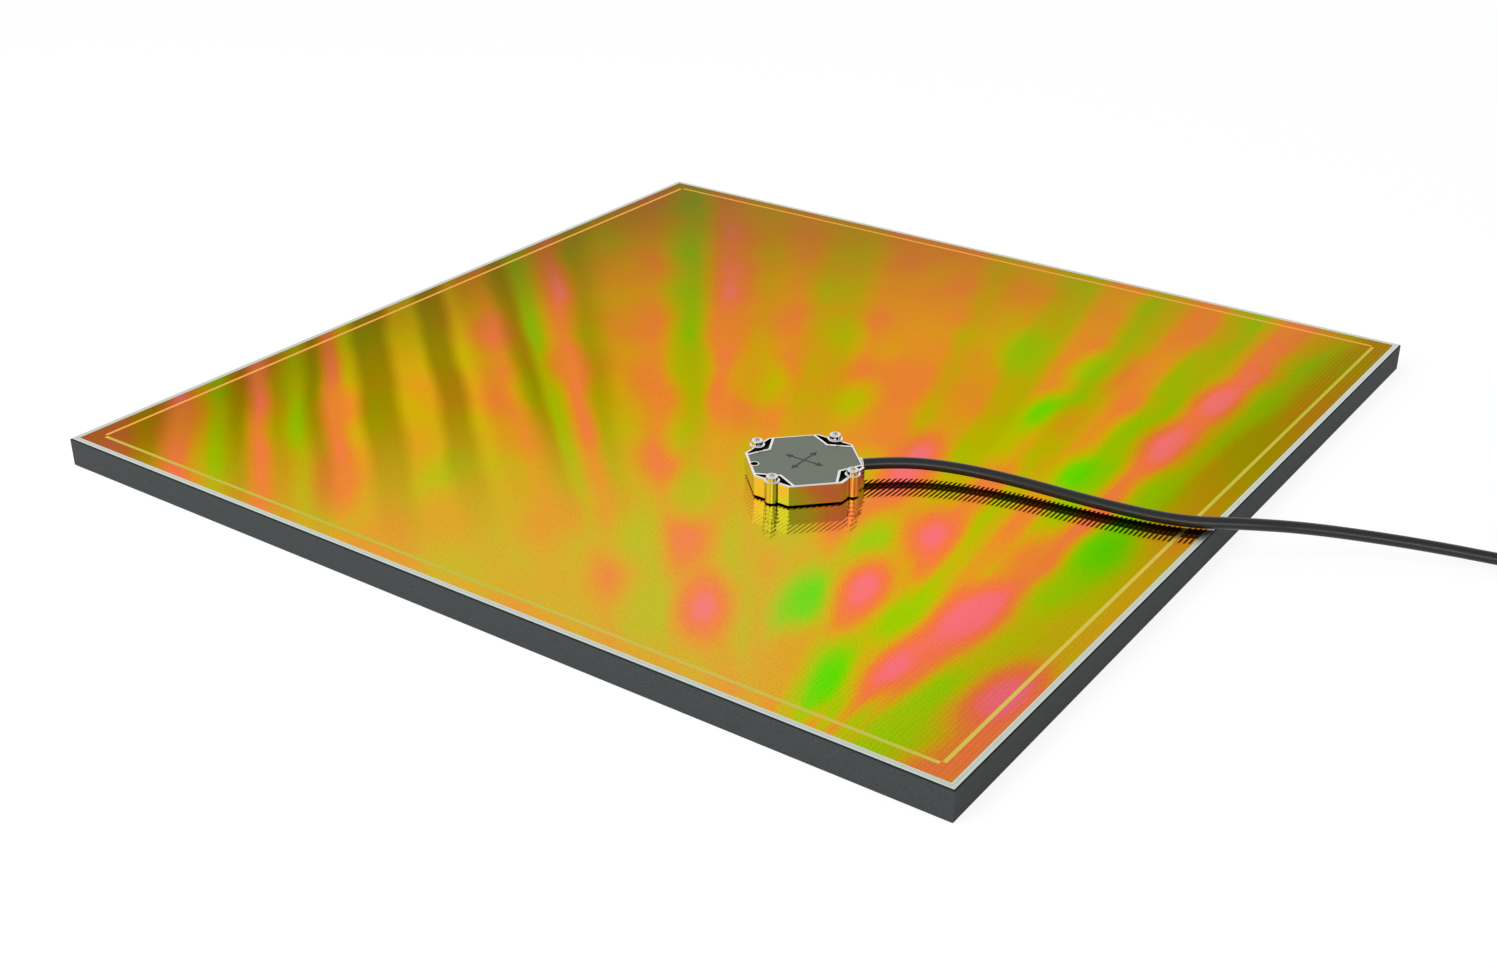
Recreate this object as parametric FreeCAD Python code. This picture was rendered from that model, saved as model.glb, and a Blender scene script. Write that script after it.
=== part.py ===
import FreeCAD, Part
import math
import os

# Two-coordinate grid encoder: a square plate with a grating on its top face, a flat scanning head
# that reads the grating across a narrow air gap, and the head's cable with its plug.
# Millimetres. Origin at the middle of the plate's underside, +Z up, +X towards the edge that the
# cable crosses.

V = FreeCAD.Vector
UP = V(0, 0, 1)

# Grid plate
plate_side = 400.0
plate_height = 12.0
edge_break = 0.4
layer_thick = 0.1
margin_width = 2.6
line_inset = 9.2
line_width = 1.45
line_gap = 0.3

# Scanning head: place and housing
head_x = 57.2
head_y = -62.7
head_turn = 45.0
scan_gap = 0.6
head_side = 42.0
head_height = 8.1
corner_cut = 11.0
head_edge_break = 0.25
floor_thick = 1.6
rim_width = 0.9
cover_thick = 0.8
cover_drop = 0.15
cover_flat = 15.2
cover_notch_depth = 13.2
ledge_width = 1.5
pocket_rim = 1.0
pocket_wall = 1.0
pocket_depth = 1.6
notch_inset = 1.9
notch_radius = 1.9
tapped_radius = 1.25
tapped_depth = 5.0

# Mounting screws of the head
screw_pitch = 30.5
boss_radius = 2.5
screw_radius = 1.25
screw_length = 6.0
screw_head_radius = 2.25
screw_head_height = 2.0
screw_head_round = 0.6
hex_width = 2.0
hex_depth = 1.0
washer_radius = 3.0
washer_thick = 0.5
washer_play = 0.1

# Optics of the head
reticle_side = 13.0
reticle_thick = 0.8
reticle_drop = 0.1
window_radius = 3.9
holder_radius = 6.0
holder_height = 2.6
lens_radius = 4.5
lens_edge = 0.7
lens_middle = 1.6
lens_seat = 0.6

# Circuit board of the head
board_width = 23.0
board_flat = 13.0
board_thick = 0.8
board_level = 5.0
post_radius = 1.5
post_place = 9.5
small_screw_radius = 0.8
small_screw_length = 2.2
small_head_radius = 1.4
small_head_height = 0.7
emitter_radius = 1.6
emitter_height = 1.0
detector_size = (3.0, 2.0, 0.6)
detector_place = 4.2
chip_sizes = ((5.0, 5.0, 0.9), (4.0, 3.0, 0.8), (3.0, 3.0, 0.7))
chip_places = ((-4.5, -4.5), (4.6, -4.2), (-4.4, 4.6))

# Cable: sizes, its fixing in the head and its route
cable_radius = 2.25
cable_level = 4.3
collar_radius = 2.65
collar_out = 1.5
stub_end = 12.5
clamp_place = 14.9
clamp_length = 3.0
clamp_thick = 0.45
clamp_foot_edge = 0.2
clamp_foot_thick = 0.7
core_radius = 0.28
core_spacing = 0.55
core_fan = (2.7, 3.9, 5.1)
core_end = 8.6
straight_exit = 13.3

# From the straight stretch at the collar over the plate, across its edge and down to the floor
run_points = (
    (99.5, -29.0, 16.6),
    (123.5, -23.5, 15.9),
    (160.0, -21.0, 15.0),
    (189.0, -16.0, 14.6),
    (208.5, -4.0, 14.7),
    (228.5, 13.0, 11.4),
    (261.0, 31.0, 7.4),
    (291.0, 43.5, 4.0),
)

# Coil of the length that is put away: a flat spiral inwards, and on top of it a second one outwards
coil_x = 313.0
coil_y = 82.0
coil_turn_radius = 30.9
coil_turn_spread = 9.7
coil_entry_angle = -80.0
tie_thick = 0.6
tie_width = 8.0
tie_angle = 125.0
tie_play = 0.1

# Between the coil and the straight stretch at the plug
tail_points = ((344.3, 94.0, 7.55),)

# Plug with 15 pins
plug_x = 343.0
plug_y = 136.0
hood_length = 56.0
hood_width = 27.0
hood_height = 16.0
hood_wall = 1.6
hood_round = 2.0
hood_edge_break = 0.6
ear_length = 12.0
ear_width = 42.0
boot_length = 18.0
boot_radius = 4.6
boot_tip_radius = 3.1
boot_neck_radius = 3.9
boot_flange_radius = 5.0
boot_flange_thick = 1.5
boot_grooves = 5
boot_groove_depth = 0.5
boot_groove_share = 0.45
hood_screw_x = 5.2
hood_screw_y = 8.6
hood_post_radius = 2.4
hood_screw_radius = 1.25
hood_screw_head_radius = 2.2
hood_screw_head_height = 1.5
hood_screw_reach = 4.0
plug_board_start = 8.8
plug_board_end = 47.0
plug_board_width = 21.0
plug_board_thick = 1.2
rail_width = 2.0
plug_chip_sizes = ((9.0, 9.0, 1.4), (6.0, 5.0, 1.2), (5.0, 4.0, 1.0))
plug_chip_places = ((21.0, 0.0), (33.0, 4.5), (33.5, -4.5))
shell_width = 25.0
shell_height = 8.4
shell_slant = 10.0
shell_round = 2.2
shell_wall = 0.5
shell_reach = 5.8
flange_width = 39.2
flange_height = 12.5
flange_thick = 0.8
insert_depth = 7.0
insert_reach = 0.6
insert_play = 0.1
pin_radius = 0.5
pin_reach = 5.0
pin_tail = 4.0
pin_pitch = 2.77
pin_row_gap = 2.84
pin_counts = (8, 7)

# Jackscrews of the plug
jack_spacing = 33.3
jack_radius = 1.9
jack_neck_radius = 1.2
jack_thread_radius = 1.42
jack_thread_reach = 5.0
jack_knob_radius = 2.75
jack_knob_length = 18.0
jack_slot_width = 0.8
jack_slot_depth = 1.4
jack_grooves = 12
jack_groove_depth = 0.3
jack_end_play = 0.1

# Clearances
slip = 0.05
glue = 0.03

# Places worked out from the sizes
plate_half = plate_side / 2
layer_level = plate_height - layer_thick
head_half = head_side / 2
head_flat = head_half - corner_cut
head_level = plate_height + scan_gap
screw_place = screw_pitch / 2
cover_half = head_half - rim_width
cover_level = head_height - cover_drop - cover_thick
cover_apex = cover_half - cover_notch_depth / math.sqrt(2)
cavity_half = cover_half - ledge_width
notch_x = notch_inset - head_half
collar_mouth = head_half + collar_out
coil_inner = coil_turn_radius - coil_turn_spread - cable_radius
coil_outer = coil_turn_radius + cable_radius
coil_bottom = tie_thick + 1.5 * tie_play
coil_top = coil_bottom + 4 * cable_radius
hood_half = hood_width / 2
plug_axis = hood_height / 2
clamp_screw_place = cable_radius + glue + clamp_thick + small_head_radius + slip
clamp_foot = clamp_screw_place + small_head_radius + clamp_foot_edge
shell_face = hood_length + flange_thick
jack_place = jack_spacing / 2

head_placing = FreeCAD.Placement(V(head_x, head_y, head_level), FreeCAD.Rotation(UP, head_turn))
plug_placing = FreeCAD.Placement(V(plug_x, plug_y, 0), FreeCAD.Rotation(UP, 90))


# Shared shapes

def block(x0, x1, y0, y1, z0, z1):
    return Part.makeBox(x1 - x0, y1 - y0, z1 - z0, V(x0, y0, z0))


def square(half, z0, z1):
    return block(-half, half, -half, half, z0, z1)


def rod(radius, x, y, z0, z1):
    return Part.makeCylinder(radius, z1 - z0, V(x, y, z0))


def lying_rod(radius, x0, x1, y, z):
    return Part.makeCylinder(radius, x1 - x0, V(x0, y, z), V(1, 0, 0))


def closed_wire(points, z=0.0):
    corners = [V(x, y, z) for x, y in points]
    return Part.makePolygon(corners + corners[:1])


def prism(points, z0, z1):
    return Part.Face(closed_wire(points, z0)).extrude(V(0, 0, z1 - z0))


def turned(profile, centre=V(0, 0, 0), axis=UP, degrees=360):
    return Part.Face(profile).revolve(centre, axis, degrees)


def lathe(points):
    """A body of revolution about Z from (radius, height) points."""
    corners = [V(radius, 0, height) for radius, height in points]
    return turned(Part.makePolygon(corners + corners[:1]))


def lying_lathe(points, y, z):
    """A body of revolution about a line along X from (radius, place) points."""
    corners = [V(place, y, z + radius) for radius, place in points]
    return turned(Part.makePolygon(corners + corners[:1]), V(0, y, z), V(1, 0, 0))


def straight_core(start, end):
    along = V(*end) - V(*start)
    return Part.makeCylinder(core_radius, along.Length, V(*start), along)


def four_corners(place):
    return [(sx * place, sy * place) for sx in (1, -1) for sy in (1, -1)]


def four_sides(place):
    return [(place, 0.0), (0.0, place), (-place, 0.0), (0.0, -place)]


def octagon(half, flat):
    corners = [(half, -flat), (half, flat), (flat, half), (-flat, half)]
    return corners + [(-x, -y) for x, y in corners]


def edges_at(shape, z):
    return [e for e in shape.Edges if abs(e.BoundBox.ZMin - z) < 1e-4 and abs(e.BoundBox.ZMax - z) < 1e-4]


# Grid plate

def make_plate():
    blank = square(plate_half, 0, layer_level)
    return blank.makeChamfer(edge_break, edges_at(blank, 0) + edges_at(blank, layer_level))


def make_coating_margin():
    ring = square(plate_half - edge_break, layer_level, plate_height)
    return ring.cut(square(plate_half - margin_width, layer_level, plate_height))


def make_border_lines():
    middle = plate_half - line_inset
    reach = middle - line_width / 2 - line_gap
    line = block(-reach, reach, middle - line_width / 2, middle + line_width / 2, layer_level, plate_height)
    lines = []
    for quarter in range(4):
        side = line.copy()
        side.rotate(V(0, 0, 0), UP, 90 * quarter)
        lines.append(side)
    return lines


def make_grating(lines):
    return square(plate_half - margin_width, layer_level, plate_height).cut(lines)


# Scanning head, with its own middle and underside as origin and the cable leaving along +X

def cover_outline():
    """A square whose corners are notched by a wide V each."""
    flat = cover_flat / 2
    quarter = [(cover_half, -flat), (cover_half, flat), (cover_apex, cover_apex)]
    points = []
    for turn in range(4):
        c, s = round(math.cos(turn * math.pi / 2)), round(math.sin(turn * math.pi / 2))
        points += [(c * x - s * y, s * x + c * y) for x, y in quarter]
    return points


def offset_prism(points, distance, z0, z1):
    """The outline moved out by a distance, with sharp corners."""
    wire = closed_wire(points, z0).makeOffset2D(distance, 2)
    return Part.Face(wire).extrude(V(0, 0, z1 - z0))


def corner_pocket():
    """The triangle between the cover's notch and the walls of the first corner."""
    along = V(cover_half - cover_apex, cover_flat / 2 - cover_apex, 0).normalize()
    apex = cover_apex + pocket_rim / (along.x - along.y)
    reach = head_half + head_flat - pocket_wall * math.sqrt(2)
    length = (reach - 2 * apex) / (along.x + along.y)
    tip = (apex + length * along.x, apex + length * along.y)
    bottom = head_height - pocket_depth
    pocket = prism([(apex, apex), tip, tip[::-1]], bottom, head_height)
    pocket = pocket.common(square(cover_half, bottom, head_height))
    return pocket.cut(rod(boss_radius, screw_place, screw_place, 0, head_height))


def make_housing():
    body = prism(octagon(head_half, head_flat), 0, head_height)
    rims = edges_at(body, 0) + edges_at(body, head_height)
    body = body.makeChamfer(head_edge_break, rims)
    body = body.fuse([rod(boss_radius, x, y, 0, head_height) for x, y in four_corners(screw_place)])
    body = body.cut(offset_prism(cover_outline(), slip, cover_level, head_height))
    body = body.cut(offset_prism(cover_outline(), -ledge_width, floor_thick, head_height))
    outside = prism(octagon(head_half, head_flat), 0, head_height)
    island = rod(notch_radius, notch_x, 0, floor_thick, head_height).common(outside)
    posts = [rod(post_radius, x, y, floor_thick, board_level) for x, y in four_sides(post_place)]
    saddle_top = cable_level - cable_radius - glue
    clamp_half = clamp_length / 2
    saddle = block(clamp_place - clamp_half, clamp_place + clamp_half, -cable_radius + glue,
                   cable_radius - glue, floor_thick, saddle_top)
    body = body.fuse([island, saddle] + posts)

    cuts = []
    pocket = corner_pocket()
    for quarter in range(4):
        turned_pocket = pocket.copy()
        turned_pocket.rotate(V(0, 0, 0), UP, 90 * quarter)
        cuts.append(turned_pocket)
    cuts += [rod(screw_radius + slip, x, y, 0, head_height) for x, y in four_corners(screw_place)]
    cuts.append(rod(tapped_radius, notch_x, 0, head_height - tapped_depth, head_height))
    cuts.append(lying_rod(collar_radius + glue, 0, head_half, 0, cable_level)
                .common(block(cavity_half, head_half, -head_half, head_half, 0, head_height)))
    recess = reticle_thick + reticle_drop
    cuts.append(square(reticle_side / 2 + slip, 0, recess))
    cuts.append(rod(window_radius, 0, 0, 0, floor_thick))
    thread = small_screw_radius + glue
    post_hole = board_level + board_thick - small_screw_length
    cuts += [rod(thread, x, y, post_hole, board_level) for x, y in four_sides(post_place)]
    clamp_hole = floor_thick + clamp_foot_thick - small_screw_length * clamp_screw_share()
    cuts += [rod(thread, clamp_place, y, clamp_hole, floor_thick)
             for y in (clamp_screw_place, -clamp_screw_place)]
    return body.cut(cuts).removeSplitter()


def clamp_screw_share():
    """The clamp's screws are shorter, so that they end inside the floor."""
    return (clamp_foot_thick + 0.75 * floor_thick) / small_screw_length


def make_cover():
    cover = prism(cover_outline(), cover_level, cover_level + cover_thick)
    return cover.cut(rod(notch_radius + slip, notch_x, 0, cover_level, cover_level + cover_thick))


def make_mounting_screws():
    seat = head_height + washer_thick
    top = seat + screw_head_height
    screws = []
    for x, y in four_corners(screw_place):
        head = rod(screw_head_radius, x, y, seat, top)
        head = head.makeFillet(screw_head_round, edges_at(head, top))
        shank = rod(screw_radius, x, y, seat - screw_length, seat)
        corner = hex_width / math.sqrt(3)
        hexagon = [(x + corner * math.cos(math.radians(60 * k)), y + corner * math.sin(math.radians(60 * k)))
                   for k in range(6)]
        screws.append(head.fuse(shank).cut(prism(hexagon, top - hex_depth, top)).removeSplitter())
    return screws


def make_washers():
    top = head_height + washer_thick
    hole = screw_radius + washer_play
    return [rod(washer_radius, x, y, head_height, top).cut(rod(hole, x, y, head_height, top))
            for x, y in four_corners(screw_place)]


def make_reticle():
    return square(reticle_side / 2, reticle_drop, reticle_drop + reticle_thick)


def make_lens_holder():
    top = floor_thick + holder_height
    seat = floor_thick + lens_seat
    return lathe([(window_radius, floor_thick), (holder_radius, floor_thick), (holder_radius, top),
                  (lens_radius + slip, top), (lens_radius + slip, seat), (window_radius, seat)])


def make_lens():
    seat = floor_thick + lens_seat
    rim = V(lens_radius, 0, seat + lens_edge)
    pole = V(0, 0, seat + lens_middle)
    rise = lens_middle - lens_edge
    sphere = (lens_radius ** 2 + rise ** 2) / (2 * rise)
    half_angle = math.asin(lens_radius / sphere) / 2
    between = V(sphere * math.sin(half_angle), 0, pole.z - sphere * (1 - math.cos(half_angle)))
    dome = Part.Arc(rim, between, pole).toShape()
    sides = [Part.makeLine(pole, V(0, 0, seat)), Part.makeLine(V(0, 0, seat), V(lens_radius, 0, seat)),
             Part.makeLine(V(lens_radius, 0, seat), rim)]
    return turned(Part.Wire([dome] + sides))


def make_board():
    board = prism(octagon(board_width / 2, board_flat / 2), board_level, board_level + board_thick)
    holes = [rod(small_screw_radius + slip, x, y, board_level, board_level + board_thick)
             for x, y in four_sides(post_place)]
    return board.cut(holes)


def small_screw(x, y, seat, length):
    head = rod(small_head_radius, x, y, seat, seat + small_head_height)
    slot = block(x - small_head_radius, x + small_head_radius, y - small_screw_radius / 4,
                 y + small_screw_radius / 4, seat + small_head_height / 2, seat + small_head_height)
    return head.fuse(rod(small_screw_radius, x, y, seat - length, seat)).cut(slot).removeSplitter()


def make_board_screws():
    seat = board_level + board_thick
    return [small_screw(x, y, seat, small_screw_length) for x, y in four_sides(post_place)]


def make_emitter():
    step = emitter_height / 2
    return lathe([(0, board_level), (emitter_radius, board_level), (emitter_radius, board_level - step),
                  (emitter_radius - step, board_level - emitter_height), (0, board_level - emitter_height)])


def make_detectors():
    length, width, height = detector_size
    chips = []
    for quarter in range(4):
        chip = block(detector_place - width / 2, detector_place + width / 2, -length / 2, length / 2,
                     board_level - height, board_level)
        chip.rotate(V(0, 0, 0), UP, 90 * quarter)
        chips.append(chip)
    return chips


def make_chips(places, sizes, level):
    return [block(x - a / 2, x + a / 2, y - b / 2, y + b / 2, level, level + c)
            for (x, y), (a, b, c) in zip(places, sizes)]


def make_collar():
    return lying_lathe([(cable_radius + glue, cavity_half), (collar_radius, cavity_half),
                        (collar_radius, collar_mouth), (cable_radius + glue, collar_mouth)], 0, cable_level)


def make_cable_stub():
    return lying_rod(cable_radius, stub_end, collar_mouth, 0, cable_level)


def make_cable_clamp():
    """A strap over the cable's end with a foot on each side."""
    x0, x1 = clamp_place - clamp_length / 2, clamp_place + clamp_length / 2
    inner = cable_radius + glue
    outer = inner + clamp_thick
    arch = lying_rod(outer, x0, x1, 0, cable_level)
    legs = block(x0, x1, -outer, outer, floor_thick, cable_level)
    feet = block(x0, x1, -clamp_foot, clamp_foot, floor_thick, floor_thick + clamp_foot_thick)
    strap = arch.fuse([legs, feet])
    strap = strap.cut([lying_rod(inner, x0, x1, 0, cable_level),
                       block(x0, x1, -inner, inner, 0, cable_level)])
    holes = [rod(small_screw_radius + slip, clamp_place, y, floor_thick, floor_thick + clamp_foot_thick)
             for y in (clamp_screw_place, -clamp_screw_place)]
    return strap.cut(holes).removeSplitter()


def make_clamp_screws():
    seat = floor_thick + clamp_foot_thick
    length = small_screw_length * clamp_screw_share()
    return [small_screw(clamp_place, y, seat, length) for y in (clamp_screw_place, -clamp_screw_place)]


def make_head_cores():
    """Six cores that fan out from the cable's end to the underside of the board."""
    level = board_level - core_radius - glue
    cores = []
    for side in (1, -1):
        for number, place in enumerate(core_fan):
            start = (stub_end - core_radius, side * core_spacing * (number + 1.2), cable_level)
            cores.append(straight_core(start, (core_end, side * place, level)))
    return cores


# Cable

def rounded_route(points, label):
    """Straight runs joined by the largest tangent arcs that the runs allow."""
    edges, last, radii = [], points[0], []
    for before, corner, after in zip(points, points[1:], points[2:]):
        arriving, leaving = (corner - before), (after - corner)
        trim = 0.45 * min(arriving.Length, leaving.Length)
        arriving.normalize()
        leaving.normalize()
        turn = arriving.getAngle(leaving)
        radius = trim / math.tan(turn / 2)
        inward = (leaving - arriving).normalize()
        start, end = corner - arriving * trim, corner + leaving * trim
        middle = corner + inward * (radius / math.cos(turn / 2) - radius)
        edges.append(Part.LineSegment(last, start).toShape())
        edges.append(Part.Arc(start, middle, end).toShape())
        radii.append(round(radius, 1))
        last = end
    edges.append(Part.LineSegment(last, points[-1]).toShape())
    print(label, "bend radii", radii)
    return Part.Wire(edges)


def make_tube(points, label):
    route = rounded_route(points, label)
    section = Part.Wire(Part.makeCircle(cable_radius, points[0], points[1] - points[0]))
    tube = route.makePipeShell([section], True, True)
    expected = math.pi * cable_radius ** 2 * route.Length
    print(label, "length %.1f volume ratio %.4f" % (route.Length, tube.Volume / expected))
    return tube


def make_cable_run():
    exit_points = [head_placing.multVec(V(x, 0, cable_level)) for x in (collar_mouth, collar_mouth + straight_exit)]
    angle = math.radians(coil_entry_angle)
    entry = V(coil_x + coil_turn_radius * math.cos(angle), coil_y + coil_turn_radius * math.sin(angle),
              coil_bottom + cable_radius)
    return make_tube(exit_points + [V(*p) for p in run_points] + [entry], "cable_run")


def make_cable_tail():
    leaving = V(coil_x + coil_turn_radius, coil_y, coil_top - cable_radius)
    tip = -boot_length
    entry_points = [plug_placing.multVec(V(x, 0, plug_axis)) for x in (tip - straight_exit, tip)]
    return make_tube([leaving] + [V(*p) for p in tail_points] + entry_points, "cable_tail")


def coil_section(grow, bottom, top):
    """The coil's section in the XZ plane, as a rectangle with rounded corners."""
    inner, outer = coil_x + coil_inner - grow, coil_x + coil_outer + grow
    corners = [V(inner, coil_y, bottom), V(outer, coil_y, bottom), V(outer, coil_y, top), V(inner, coil_y, top)]
    return Part.makePolygon(corners + corners[:1])


def make_coil(tubes):
    axis = V(coil_x, coil_y, 0)
    ring = turned(coil_section(0, coil_bottom, coil_top), axis)
    ring = ring.makeFillet(cable_radius, edges_at(ring, coil_bottom) + edges_at(ring, coil_top))
    return ring.cut(tubes)


def make_coil_tie():
    axis = V(coil_x, coil_y, 0)
    sweep = math.degrees(2 * tie_width / (coil_inner + coil_outer))
    outer = tie_play + tie_thick
    band = turned(coil_section(outer, coil_bottom - outer, coil_top + outer), axis, degrees=sweep)
    hole = turned(coil_section(tie_play, coil_bottom - tie_play, coil_top + tie_play), axis, degrees=sweep)
    band = band.cut(hole)
    band.rotate(axis, UP, tie_angle)
    return band


# Plug, with the back of its hood as origin and the pins pointing along +X

def rounded_block(x0, x1, half, z0, z1):
    solid = block(x0, x1, -half, half, z0, z1)
    upright = [e for e in solid.Edges if abs(e.BoundBox.ZLength - (z1 - z0)) < 1e-4]
    return solid.makeFillet(hood_round, upright)


def shell_outline(grow, x0, x1):
    """The D-shaped section of the plug's shell, wide side up, as a prism along X."""
    half = shell_width / 2
    narrow = half - shell_height * math.tan(math.radians(shell_slant))
    corners = [(-half, shell_height / 2), (-narrow, -shell_height / 2),
               (narrow, -shell_height / 2), (half, shell_height / 2)]
    wire = Part.makePolygon([V(x0, y, plug_axis + z) for y, z in corners + corners[:1]])
    solid = Part.Face(wire).extrude(V(x1 - x0, 0, 0))
    lengthwise = [e for e in solid.Edges if abs(e.BoundBox.XLength - (x1 - x0)) < 1e-4]
    solid = solid.makeFillet(shell_round, lengthwise)
    if grow == 0:
        return solid
    face = next(f for f in solid.Faces if abs(f.BoundBox.XMax - x0) < 1e-4)
    return Part.Face(face.OuterWire.makeOffset2D(grow)).extrude(V(x1 - x0, 0, 0))


def make_hood():
    """Both halves of the hood in one, before they are parted at the middle."""
    hood = rounded_block(0, hood_length, hood_half, 0, hood_height)
    ears = rounded_block(hood_length - ear_length, hood_length, ear_width / 2, 0, hood_height)
    hood = hood.fuse(ears).removeSplitter()
    hood = hood.makeChamfer(hood_edge_break, edges_at(hood, 0) + edges_at(hood, hood_height))
    inside = hood_half - hood_wall
    front = hood_length - insert_depth / 2
    ceiling = hood_height - hood_wall
    hood = hood.cut(block(hood_wall, front, -inside, inside, hood_wall, ceiling))
    posts = [rod(hood_post_radius, hood_screw_x, y, 0, ceiling + hood_wall) for y in (hood_screw_y, -hood_screw_y)]
    board_bottom = plug_axis - plug_board_thick / 2
    rails = [block(plug_board_start, plug_board_end, y, y + rail_width, hood_wall / 2, board_bottom)
             for y in (-inside, inside - rail_width)]
    hood = hood.fuse(posts + rails)

    opening_half = shell_width / 2
    cuts = [block(front, hood_length, -opening_half, opening_half, plug_axis - shell_height / 2,
                  plug_axis + shell_height / 2)]
    cuts.append(lying_rod(boot_neck_radius + slip, 0, hood_wall, 0, plug_axis))
    for side in (1, -1):
        cuts.append(lying_rod(jack_radius + slip, 0, hood_length, side * jack_place, plug_axis)
                    .common(block(hood_length - ear_length, hood_length, -ear_width, ear_width, 0, hood_height)))
        y = side * hood_screw_y
        cuts.append(rod(hood_screw_radius + slip, hood_screw_x, y, hood_screw_reach, hood_height))
        cuts.append(rod(hood_screw_head_radius + slip, hood_screw_x, y,
                        hood_height - hood_screw_head_height, hood_height))
    return hood.cut(cuts).removeSplitter()


def hood_half_of(hood, z0, z1):
    return hood.common(block(0, hood_length, -ear_width, ear_width, z0, z1))


def make_hood_screws():
    seat = hood_height - hood_screw_head_height
    screws = []
    for y in (hood_screw_y, -hood_screw_y):
        head = rod(hood_screw_head_radius, hood_screw_x, y, seat, hood_height)
        shank = rod(hood_screw_radius, hood_screw_x, y, hood_screw_reach, seat)
        half = hood_screw_radius / 4
        slots = [block(hood_screw_x - a, hood_screw_x + a, y - b, y + b, seat + half, hood_height)
                 for a, b in ((hood_screw_radius, half), (half, hood_screw_radius))]
        screws.append(head.fuse(shank).cut(slots).removeSplitter())
    return screws


def make_boot():
    """A taper with ring grooves that let it bend, and a flange that the hood holds."""
    tip = -boot_length
    start = hood_wall + boot_flange_thick
    shoulder = tip / 8
    taper = (boot_radius - boot_tip_radius) / (shoulder - tip)
    pitch = (shoulder - tip) / (boot_grooves + 0.5)
    points = [(0, tip), (boot_tip_radius, tip)]
    for groove in range(boot_grooves):
        edges = [tip + pitch * (groove + share) for share in (0.5, 0.5 + boot_groove_share)]
        sides = [boot_tip_radius + taper * (place - tip) for place in edges]
        points += [(sides[0], edges[0]), (sides[0] - boot_groove_depth, edges[0]),
                   (sides[1] - boot_groove_depth, edges[1]), (sides[1], edges[1])]
    points += [(boot_radius, shoulder), (boot_radius, 0), (boot_neck_radius, 0), (boot_neck_radius, hood_wall),
               (boot_flange_radius, hood_wall), (boot_flange_radius, start), (0, start)]
    return lying_lathe(points, 0, plug_axis)


def make_shell():
    """The plug's metal face: a flange with the D-shaped collar round the pins."""
    z0, z1 = plug_axis - flange_height / 2, plug_axis + flange_height / 2
    flange = block(hood_length, shell_face, -flange_width / 2, flange_width / 2, z0, z1)
    corners = [e for e in flange.Edges if abs(e.BoundBox.XLength - flange_thick) < 1e-4]
    flange = flange.makeFillet(hood_round, corners)
    shell = flange.fuse(shell_outline(0, hood_length, shell_face + shell_reach))
    cuts = [shell_outline(-shell_wall, hood_length, shell_face + shell_reach)]
    cuts += [lying_rod(jack_thread_radius + 2 * slip, hood_length, shell_face, y, plug_axis)
             for y in (jack_place, -jack_place)]
    return shell.cut(cuts).removeSplitter()


def pin_places():
    places = []
    for row, count in enumerate(pin_counts):
        z = plug_axis + pin_row_gap * (0.5 - row)
        places += [((k - (count - 1) / 2) * pin_pitch, z) for k in range(count)]
    return places


def make_insert():
    block_end = shell_face + insert_reach
    body = shell_outline(-shell_wall - insert_play, hood_length - insert_depth, block_end)
    holes = [lying_rod(pin_radius + glue, hood_length - insert_depth, block_end, y, z) for y, z in pin_places()]
    return body.cut(holes)


def make_pins():
    start = hood_length - insert_depth - pin_tail
    end = shell_face + pin_reach
    pins = []
    for y, z in pin_places():
        pin = lying_rod(pin_radius, start, end, y, z)
        tip = [e for e in pin.Edges if abs(e.BoundBox.XMin - end) < 1e-4]
        pins.append(pin.makeChamfer(pin_radius / 2, tip))
    return pins


def make_plug_board():
    z0 = plug_axis - plug_board_thick / 2
    half = plug_board_width / 2
    return block(plug_board_start, plug_board_end, -half, half, z0, z0 + plug_board_thick)


def make_plug_cores():
    """Six cores from the boot to the top and underside of the board."""
    start_x = hood_wall + boot_flange_thick + core_radius
    away = plug_board_thick / 2 + core_radius + glue
    end_x = plug_board_start + pin_tail
    cores = []
    for side in (1, -1):
        for place in (-1, 0, 1):
            start = (start_x, place * 2 * core_radius * 1.5, plug_axis + side * away)
            cores.append(straight_core(start, (end_x, place * pin_pitch, plug_axis + side * away)))
    return cores


def make_jackscrew(side):
    back = hood_length - ear_length - jack_end_play - jack_knob_length
    front = back + jack_knob_length
    shoulder = hood_length - jack_end_play
    thread = shell_face + 2 * jack_end_play
    tip = shell_face + jack_thread_reach
    bevel = jack_thread_radius / 3
    y = side * jack_place
    screw = lying_lathe([(0, back), (jack_knob_radius - bevel, back), (jack_knob_radius, back + bevel),
                         (jack_knob_radius, front), (jack_radius, front), (jack_radius, shoulder),
                         (jack_neck_radius, shoulder), (jack_neck_radius, thread),
                         (jack_thread_radius, thread), (jack_thread_radius, tip - bevel),
                         (jack_thread_radius - bevel, tip), (0, tip)], y, plug_axis)
    grooves = []
    for k in range(jack_grooves):
        angle = 2 * math.pi * k / jack_grooves
        place = jack_knob_radius + jack_groove_depth
        grooves.append(lying_rod(2 * jack_groove_depth, back, front - jack_knob_length / 6,
                                 y + place * math.cos(angle), plug_axis + place * math.sin(angle)))
    slot = block(back, back + jack_slot_depth, y - jack_knob_radius, y + jack_knob_radius,
                 plug_axis - jack_slot_width / 2, plug_axis + jack_slot_width / 2)
    return screw.cut(grooves + [slot]).removeSplitter()


# All pieces by node name

lines = make_border_lines()
cable_run = make_cable_run()
cable_tail = make_cable_tail()
hood = make_hood()

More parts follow.
